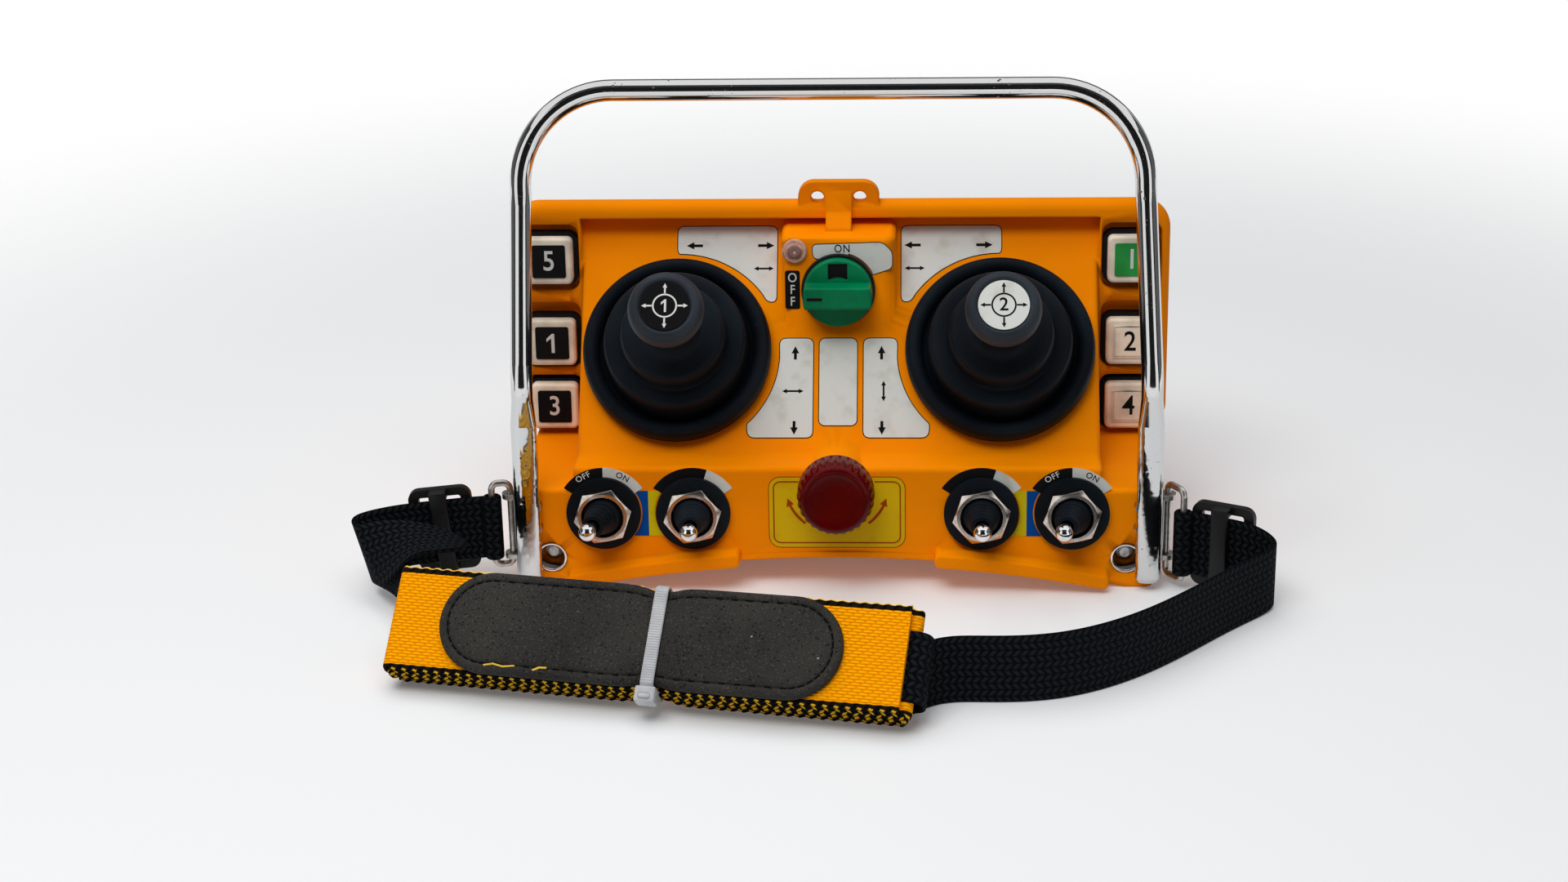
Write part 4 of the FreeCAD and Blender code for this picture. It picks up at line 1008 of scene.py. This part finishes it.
tail_route = [((-172.0, -65.5, 18.6), (-0.42, 0.52, 0.74)), ((-166.0, -68.2, 22.0), (-0.3, 0.7, 0.6)),
              ((-158.0, -69.5, 27.0), (-0.1, 0.92, 0.2)), ((-147.0, -71.0, 28.5), (0.0, 0.97, -0.1)),
              ((-134.5, -72.0, 25.5), (0.0, 0.98, -0.16))]
tail_path = smooth_path([p for p, _ in tail_route])
tail_edges = smooth_path([e for _, e in tail_route])
last = len(tail_path) - 1
round_share = 0.2
rounding = [math.sqrt(max(0.02, 1 - max(0.0, (k / last - 1 + round_share) / round_share) ** 2))
            for k in range(last + 1)]
tail, length = ribbon("left_strap_tail", tail_path, tail_edges, web_wide, web_thick, black_web,
                      sizes=rounding)
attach(tail, "case")


# Strap adjusters: a plastic frame with round corners behind the webbing and one
# broad bar in front of it.
def soft_boxes(name, boxes, r, at, made):
    """Blocks with round edges, each from one corner to the other in millimetres, as one piece."""
    work = bmesh.new()
    for low, high in boxes:
        size = [b - a for a, b in zip(low, high)]
        middle = [(a + b) / 2 for a, b in zip(low, high)]
        stretched = Matrix.Translation(middle) @ Matrix.Diagonal((*size, 1))
        block = bmesh.ops.create_cube(work, size=1.0, matrix=stretched)
        edges = {e for v in block["verts"] for e in v.link_edges}
        bmesh.ops.bevel(work, geom=list(edges), offset=r, segments=3, profile=0.5, affect="EDGES")
    mesh = bpy.data.meshes.new(name)
    work.to_mesh(mesh)
    work.free()
    mesh.transform(at @ Matrix.Scale(mm, 4))
    smoothed(mesh, 40)
    return shown(name, mesh, made)


for side, middle, lean, edge in (("left", (-147.2, -45.25, 20.0), 1.0, sloping),
                                 ("right", (140.4, -57.0, 18.5), -25.3, upright)):
    t = math.radians(lean)
    out = Vector((math.sin(t), -math.cos(t), 0))
    edge = Vector(edge)
    at = Matrix((edge.cross(out), edge, out)).transposed().to_4x4()
    at.translation = Vector(middle) * mm
    half = ([(0, -16.5)] + arc(7.8, -12.5, 4, -90, 0, 6) + arc(7.8, 12.5, 4, 0, 90, 6)
            + [(0, 16.5), (0, 13.4)] + arc(7.0, 12.4, 1, 90, 0, 4) + arc(7.0, -12.4, 1, 0, -90, 4)
            + [(0, -13.4)])
    both_halves = [half, [(-x, y) for x, y in half[::-1]]]
    loop = plates(side + "_slider_frame", both_halves, -4.0, -1.1, at, black_plastic)
    bar_blocks = [((-3.2, -16.4, 1.1), (3.2, 16.4, 3.6)), ((-3.2, 12.9, -1.6), (3.2, 16.4, 2.0)),
                  ((-3.2, -16.4, -1.6), (3.2, -12.9, 2.0))]
    bar = soft_boxes(side + "_slider_bar", bar_blocks, 0.6, at, black_plastic)
    for piece in (loop, bar):
        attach(piece, "case")
    if side == "left":
        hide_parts("strap_sliders")


# Folded shoulder strap: thick yellow webbing with black woven edges, in five
# layers that lean on their lower edge, drawn in at the middle by a cable tie.
pack_start, pack_end, pack_lean = (-154.5, -140.8), (23.3, -173.8), math.radians(46)
pack_wide, pack_thick = 38.0, 15.0
along = Vector((pack_end[0] - pack_start[0], pack_end[1] - pack_start[1], 0))
pack_long = along.length
along.normalize()
level = Vector((-along.y, along.x, 0))
up = level * math.cos(pack_lean) + Vector((0, 0, math.sin(pack_lean)))
pack = Matrix((along, up, along.cross(up))).transposed().to_4x4()
pack.translation = Vector((*pack_start, pack_thick * math.cos(pack_lean))) * mm
tie_x = 95.0
braid_long = 3.9


def drawn_in(p):
    """Points of the bundle, narrowed where the tie goes round it, its rear layers lower at the right."""
    reach, narrower, flatter, middle_layer, slip = 6.5, 0.095, 0.19, -5.5, 1.6
    x, y, z = p / mm
    near = math.exp(-((x - tie_x) / reach) ** 2)
    middle = pack_wide / 2
    y = middle + (y - middle) * (1 - narrower * near)
    z = middle_layer + (z - middle_layer) * (1 - flatter * near)
    y += slip * max(0.0, (x - tie_x) / pack_long) * max(0.0, (z + pack_thick) / pack_thick)
    return Vector((x, y, z)) * mm


def scalloped(p):
    """Points of the webbing, its woven edges gathered into small waves."""
    rim, deep = 2.0, 0.35
    out = p.y / mm - pack_wide / 2
    near_edge = max(0.0, abs(out) - pack_wide / 2 + rim) / rim
    wave = deep * near_edge * math.sin(2 * math.pi * p.x / mm / braid_long)
    return drawn_in(p + Vector((0, math.copysign(1.0, out) * wave, 0)) * mm)


def yellow_weave(s):
    along = s.flat().part("X")
    across = s.flat().part("Y")
    thread = across / (1.1 * mm)
    cell = (along / (3.6 * mm) + 0.38 * s.maths("FLOOR", thread)).crest() * thread.crest()
    fuzz = s.noise(2200.0, 3.0)
    wash = s.noise(35.0, 4.0)
    cloth = (cell * (0.7 + 0.3 * fuzz)).step(0.0, 0.6).mix(srgb(244, 132, 0), srgb(255, 174, 2))
    cloth = (0.2 * wash.step(0.4, 0.8)).mix(cloth, srgb(250, 150, 1))
    braid = ((along + 0.6 * across) / (braid_long * mm)).crest()
    edging = braid.mix(srgb(3, 3, 4), srgb(24, 21, 17))
    top = across.step(16.2 * mm, 16.5 * mm)
    rim = across.step(18.2 * mm, 18.5 * mm)
    bottom = across.step(-16.8 * mm, -17.1 * mm)
    dash = braid.step(0.8, 0.95) * across.step(-18.2 * mm, -18.5 * mm)
    dash = dash * across.step(-19.5 * mm, -19.2 * mm)
    speckled = dash.mix(edging, srgb(232, 178, 36))
    upper = rim.mix(edging, srgb(250, 196, 84))
    coloured = top.mix(bottom.mix(cloth, speckled), upper)
    height = top.most(bottom).mix(cell, braid)
    return {
        "Base Color": coloured,
        "Roughness": 0.72 + 0.2 * fuzz,
        "Specular IOR Level": 0.05,
        "Normal": height.bump(0.0004, 0.9),
    }


yellow_web = material("yellow webbing", yellow_weave)
dress("web_yellow", yellow_web)
right_folds = (pack_long, pack_long + 1.0, pack_long + 1.0, pack_long - 1.0, pack_long - 1.0)
step = pack_thick / len(right_folds)
left_fold, layer_gap, stations = 2.2, 0.25, 180
layers = []
for k, right_fold in enumerate(right_folds):
    z = -step * (k + 0.5)
    run = [(left_fold + (right_fold - left_fold) * i / stations, z) for i in range(stations + 1)]
    if k % 2 == 0:
        run.reverse()
    if layers:
        way = 1 if k % 2 == 0 else -1
        r = step / 2
        bends = [math.pi * i / 8 for i in range(1, 8)]
        layers += [(run[0][0] + way * r * math.sin(a), z + r + r * math.cos(a)) for a in bends]
    layers += run
path = [Vector((x, pack_wide / 2, z)) * mm for x, z in layers]
edges = [Vector((0, 1, 0))] * len(path)
bundle, length = ribbon("folded_shoulder_strap", path, edges, pack_wide, step - layer_gap, yellow_web,
                        scalloped, pack)
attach(bundle, "case")
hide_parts("shoulder_strap")

hem = rounded_line([(-6.0, -3.3), (6.8, -3.3), (6.8, -15.8), (-6.0, -15.8)], 3)
hem_path = [Vector((pack_long + x, 18.0, z)) * mm for x, z in hem]
hem_edges = [Vector((0, 1, 0))] * len(hem)
keeper, length = ribbon("right_strap_hem", hem_path, hem_edges, web_wide, 1.2, black_web, at=pack)
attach(keeper, "case")


# Shoulder pad: a long felt pad with round ends, sewn to the strap along a seam
# that runs round inside its edge.
def felt(s):
    fibre = s.noise(1500.0, 5.0)
    pores = s.specks(560.0, 0.24)
    lint = s.specks(150.0, 0.07) * s.noise(300.0).step(0.5, 0.6)
    cloud = s.noise(30.0, 4.0)
    tint = cloud.step(0.3, 0.75).mix(srgb(42, 41, 40), srgb(56, 54, 50))
    tint = (0.4 * fibre.step(0.55, 0.66)).mix(tint, srgb(92, 88, 82))
    tint = (0.7 * pores).mix(tint, srgb(16, 15, 14))
    return {
        "Base Color": (0.6 * lint).mix(tint, srgb(190, 184, 168)),
        "Roughness": 0.86,
        "Specular IOR Level": 0.15,
        "Normal": (fibre - 0.6 * pores).bump(0.0004, 0.8),
    }


pad_from, pad_long, pad_wide = 18.0, 142.0, 36.5


def stadium(inset, count=44):
    """The pad's outline, moved in by some millimetres, in the bundle's frame."""
    r = pad_wide / 2 - inset
    left, right, middle = pad_from + pad_wide / 2, pad_from + pad_long - pad_wide / 2, 0.75 + pad_wide / 2
    straight = [left + (right - left) * i / 40 for i in range(1, 40)]
    return (arc(right, middle, r, -90, 90, count) + [(x, middle + r) for x in straight[::-1]]
            + arc(left, middle, r, 90, 270, count) + [(x, middle - r) for x in straight])


seam = 3.4
profile = [(0.5, 0.1), (0.1, 0.5), (0.0, 1.2), (0.2, 2.2), (0.8, 3.0), (1.8, 3.4), (2.7, 3.3), (3.1, 2.9),
           (seam, 2.6), (3.7, 2.9), (4.2, 3.3), (5.4, 3.6), (8.0, 3.8), (11.0, 3.9), (15.0, 3.95),
           (pad_wide / 2, 3.95)]
rings = [[pack @ drawn_in(Vector((x, y, z)) * mm) for x, y in stadium(inset)] for inset, z in profile]
n = len(rings[0])
points = [p for ring in rings for p in ring]
faces = bands(len(rings), n) + [tuple(range(n))]
pad = mesh_piece("felt_shoulder_pad", points, faces, material("grey felt", felt), 60)
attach(pad, "case")
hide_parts("shoulder_pad")
stitch_apart, stitch_half, thread_half = 2.9, 1.1, 0.42
stitches = []
line = stadium(seam, 60)
gone = 0.0
for a, b in zip(line, line[1:] + line[:1]):
    a, b = Vector(a), Vector(b)
    gone += (b - a).length
    if gone > stitch_apart:
        gone = 0.0
        way = (b - a).normalized()
        side = Vector((-way.y, way.x)) * thread_half
        tip, shoulder = way * stitch_half, way * (stitch_half - 0.2)
        stitch = [b - tip, b - shoulder + side, b + shoulder + side, b + tip, b + shoulder - side,
                  b - shoulder - side]
        stitches.append([tuple(p) for p in stitch])
black_thread = print_ink("black thread", 9, 9, 10, 0.6)
seam_thread = plates("pad_stitches", stitches, 2.3, 2.95, Matrix(), black_thread)
frays = [[(37.0, 3.6), (40.5, 4.4), (44.0, 3.7), (48.0, 4.3), (48.2, 3.8), (44.0, 3.1), (40.4, 3.8),
          (37.3, 3.1)],
         [(54.4, 3.2), (56.8, 4.5), (59.6, 4.6), (59.4, 4.0), (57.2, 3.9), (55.0, 2.8)]]
yellow_thread = print_ink("yellow thread", 216, 180, 72, 0.6)
loose_thread = plates("loose_threads", frays, 2.9, 3.6, Matrix(), yellow_thread)
for thread in (seam_thread, loose_thread):
    for v in thread.data.vertices:
        v.co = pack @ drawn_in(v.co)
    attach(thread, "case")


# Cable tie: a ridged nylon band round the bundle, its locking head at the lower
# edge.
def nylon(s):
    ridge = (s.flat().part("X") / (0.9 * mm)).crest()
    haze = s.noise(200.0, 4.0)
    return {
        "Base Color": haze.step(0.3, 0.8).mix(srgb(190, 191, 193), srgb(168, 169, 172)),
        "Roughness": 0.3 + 0.15 * haze,
        "Subsurface Weight": 0.4,
        "Subsurface Radius": (0.002, 0.002, 0.002),
        "Normal": ridge.bump(0.0002, 0.7),
    }


tie_nylon = material("white nylon", nylon)
dress("tie_white", tie_nylon)
loop = rounded_box(-14.1, 0.9, 3.1, 37.1, 2.6)
loop = [Vector((tie_x, y, z)) * mm for z, y in loop + loop[:1]]
tie, _ = ribbon("tie_band", loop, [Vector((1, 0, 0))] * len(loop), 4.8, 1.2, tie_nylon, at=pack)
head_blocks = [((tie_x - 3.6, -4.4, -2.6), (tie_x + 3.6, 1.2, 4.0)),
               ((tie_x - 2.2, -3.4, 3.6), (tie_x + 2.2, -1.4, 4.6))]
head = soft_boxes("tie_head", head_blocks, 0.8, pack, tie_nylon)
for piece in (tie, head):
    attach(piece, "case")
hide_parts("cable_tie")

# Circuit board: a sheet of green lacquered laminate inside the case, screwed to
# posts of the rear cover.
dress("board_green", glossy("green board", 20, 90, 50))


# Room: a pale floor under soft light from above, boards for the bright metal to
# mirror, and a camera that looks down on the front of the case.
def pale_floor(s):
    far = s.node("VectorMath", "Value", {"operation": "LENGTH"}, _0=s.place())
    return {
        "Base Color": srgb(226, 227, 228),
        "Roughness": 0.55,
        "Specular IOR Level": 0.2,
        "Emission Color": (1.0, 1.0, 1.0, 1.0),
        "Emission Strength": 0.1,
        "Alpha": far.step(0.75, 0.3),
    }


floor = mesh_piece("floor", [(-2, -2, 0), (2, -2, 0), (2, 2, 0), (-2, 2, 0)], [(0, 1, 2, 3)],
                   material("floor", pale_floor))


def card(name, place, aim, wide, high, made):
    """A dull board outside the picture, for the bright metal to mirror."""
    x, y = wide / 2, high / 2
    board = mesh_piece(name, [(-x, -y, 0), (x, -y, 0), (x, y, 0), (-x, y, 0)], [(0, 1, 2, 3)], made)
    board.location = place
    board.rotation_euler = (Vector(aim) - Vector(place)).to_track_quat("Z", "Y").to_euler()
    board.visible_camera = False
    board.visible_diffuse = False
    board.visible_shadow = False


card_black = material("black card", lambda s: {"Base Color": (0.004, 0.004, 0.004, 1.0), "Roughness": 0.9})
card("card_left", (-1.0, -0.35, 0.35), (0, 0, 0.1), 0.2, 0.9, card_black)
card("card_right", (1.0, -0.45, 0.35), (0, 0, 0.1), 0.2, 0.9, card_black)
card("card_front", (0.06, -1.9, 1.14), (0.06, 0, 1.14), 2.3, 2.02, card_black)
card_grey = material("grey card", lambda s: {"Base Color": (0.3, 0.3, 0.31, 1.0), "Roughness": 0.9})
card("card_back", (0.0, 1.9, 0.9), (0, 0, 0.9), 3.6, 1.7, card_grey)
card("card_high", (0.0, -1.5, 2.3), (0, 0, 0.1), 3.0, 1.0, card_grey)
card("card_far_left", (-2.0, 0.3, 0.8), (0, 0.3, 0.8), 2.6, 1.5, card_grey)
card("card_far_right", (2.0, 0.3, 0.8), (0, 0.3, 0.8), 2.6, 1.5, card_grey)

camera_data = bpy.data.cameras.new("camera")
camera_data.sensor_width = 36.0
camera_data.lens = 65.08
camera_data.clip_end = 50.0
camera = bpy.data.objects.new("camera", camera_data)
bpy.context.collection.objects.link(camera)
bpy.context.scene.camera = camera
elevation, yaw, roll = (math.radians(a) for a in (21.976, 3.037, -1.1505))
forward = math.cos(elevation)
back = Vector((math.sin(yaw) * forward, -math.cos(yaw) * forward, math.sin(elevation)))
level = (-back).cross(Vector((0, 0, 1))).normalized()
above = level.cross(-back)
right = level * math.cos(roll) + above * math.sin(roll)
upward = above * math.cos(roll) - level * math.sin(roll)
turn = Matrix((right, upward, back)).transposed().to_4x4()
turn.translation = Vector((31.9, -1009.3, 445.7)) * mm
camera.matrix_world = turn

world = bpy.data.worlds.new("studio")
bpy.context.scene.world = world
world.use_nodes = True
nodes, links = world.node_tree.nodes, world.node_tree.links
sky = nodes["Background"]
sky.inputs["Color"].default_value = (0.9, 0.95, 1.0, 1.0)
sky.inputs["Strength"].default_value = 0.14
paper = nodes.new("ShaderNodeBackground")
paper.inputs["Color"].default_value = (1.0, 1.0, 1.0, 1.0)
both = nodes.new("ShaderNodeMixShader")
air = Shade(world.node_tree)
seen = air.node("LightPath", "Is Camera Ray").most(air.node("LightPath", "Is Glossy Ray"))
seen = seen.most(air.node("LightPath", "Is Transmission Ray"))
links.new(seen.socket, both.inputs[0])
links.new(sky.outputs[0], both.inputs[1])
links.new(paper.outputs[0], both.inputs[2])
links.new(both.outputs[0], nodes["World Output"].inputs["Surface"])


def softbox(name, place, aim, wide, high, watts):
    data = bpy.data.lights.new(name, "AREA")
    data.shape = "RECTANGLE"
    data.size = wide
    data.size_y = high
    data.energy = watts
    lamp = bpy.data.objects.new(name, data)
    bpy.context.collection.objects.link(lamp)
    lamp.location = place
    lamp.visible_glossy = False
    lamp.rotation_euler = (Vector(aim) - Vector(place)).to_track_quat("-Z", "Y").to_euler()


softbox("ceiling light", (-0.2, -0.1, 1.5), (0, 0, 0), 2.4, 1.5, 22)
softbox("front light", (-0.35, -0.75, 1.25), (0, 0, 0.08), 0.9, 0.5, 7)

bpy.context.scene.view_settings.view_transform = "Standard"
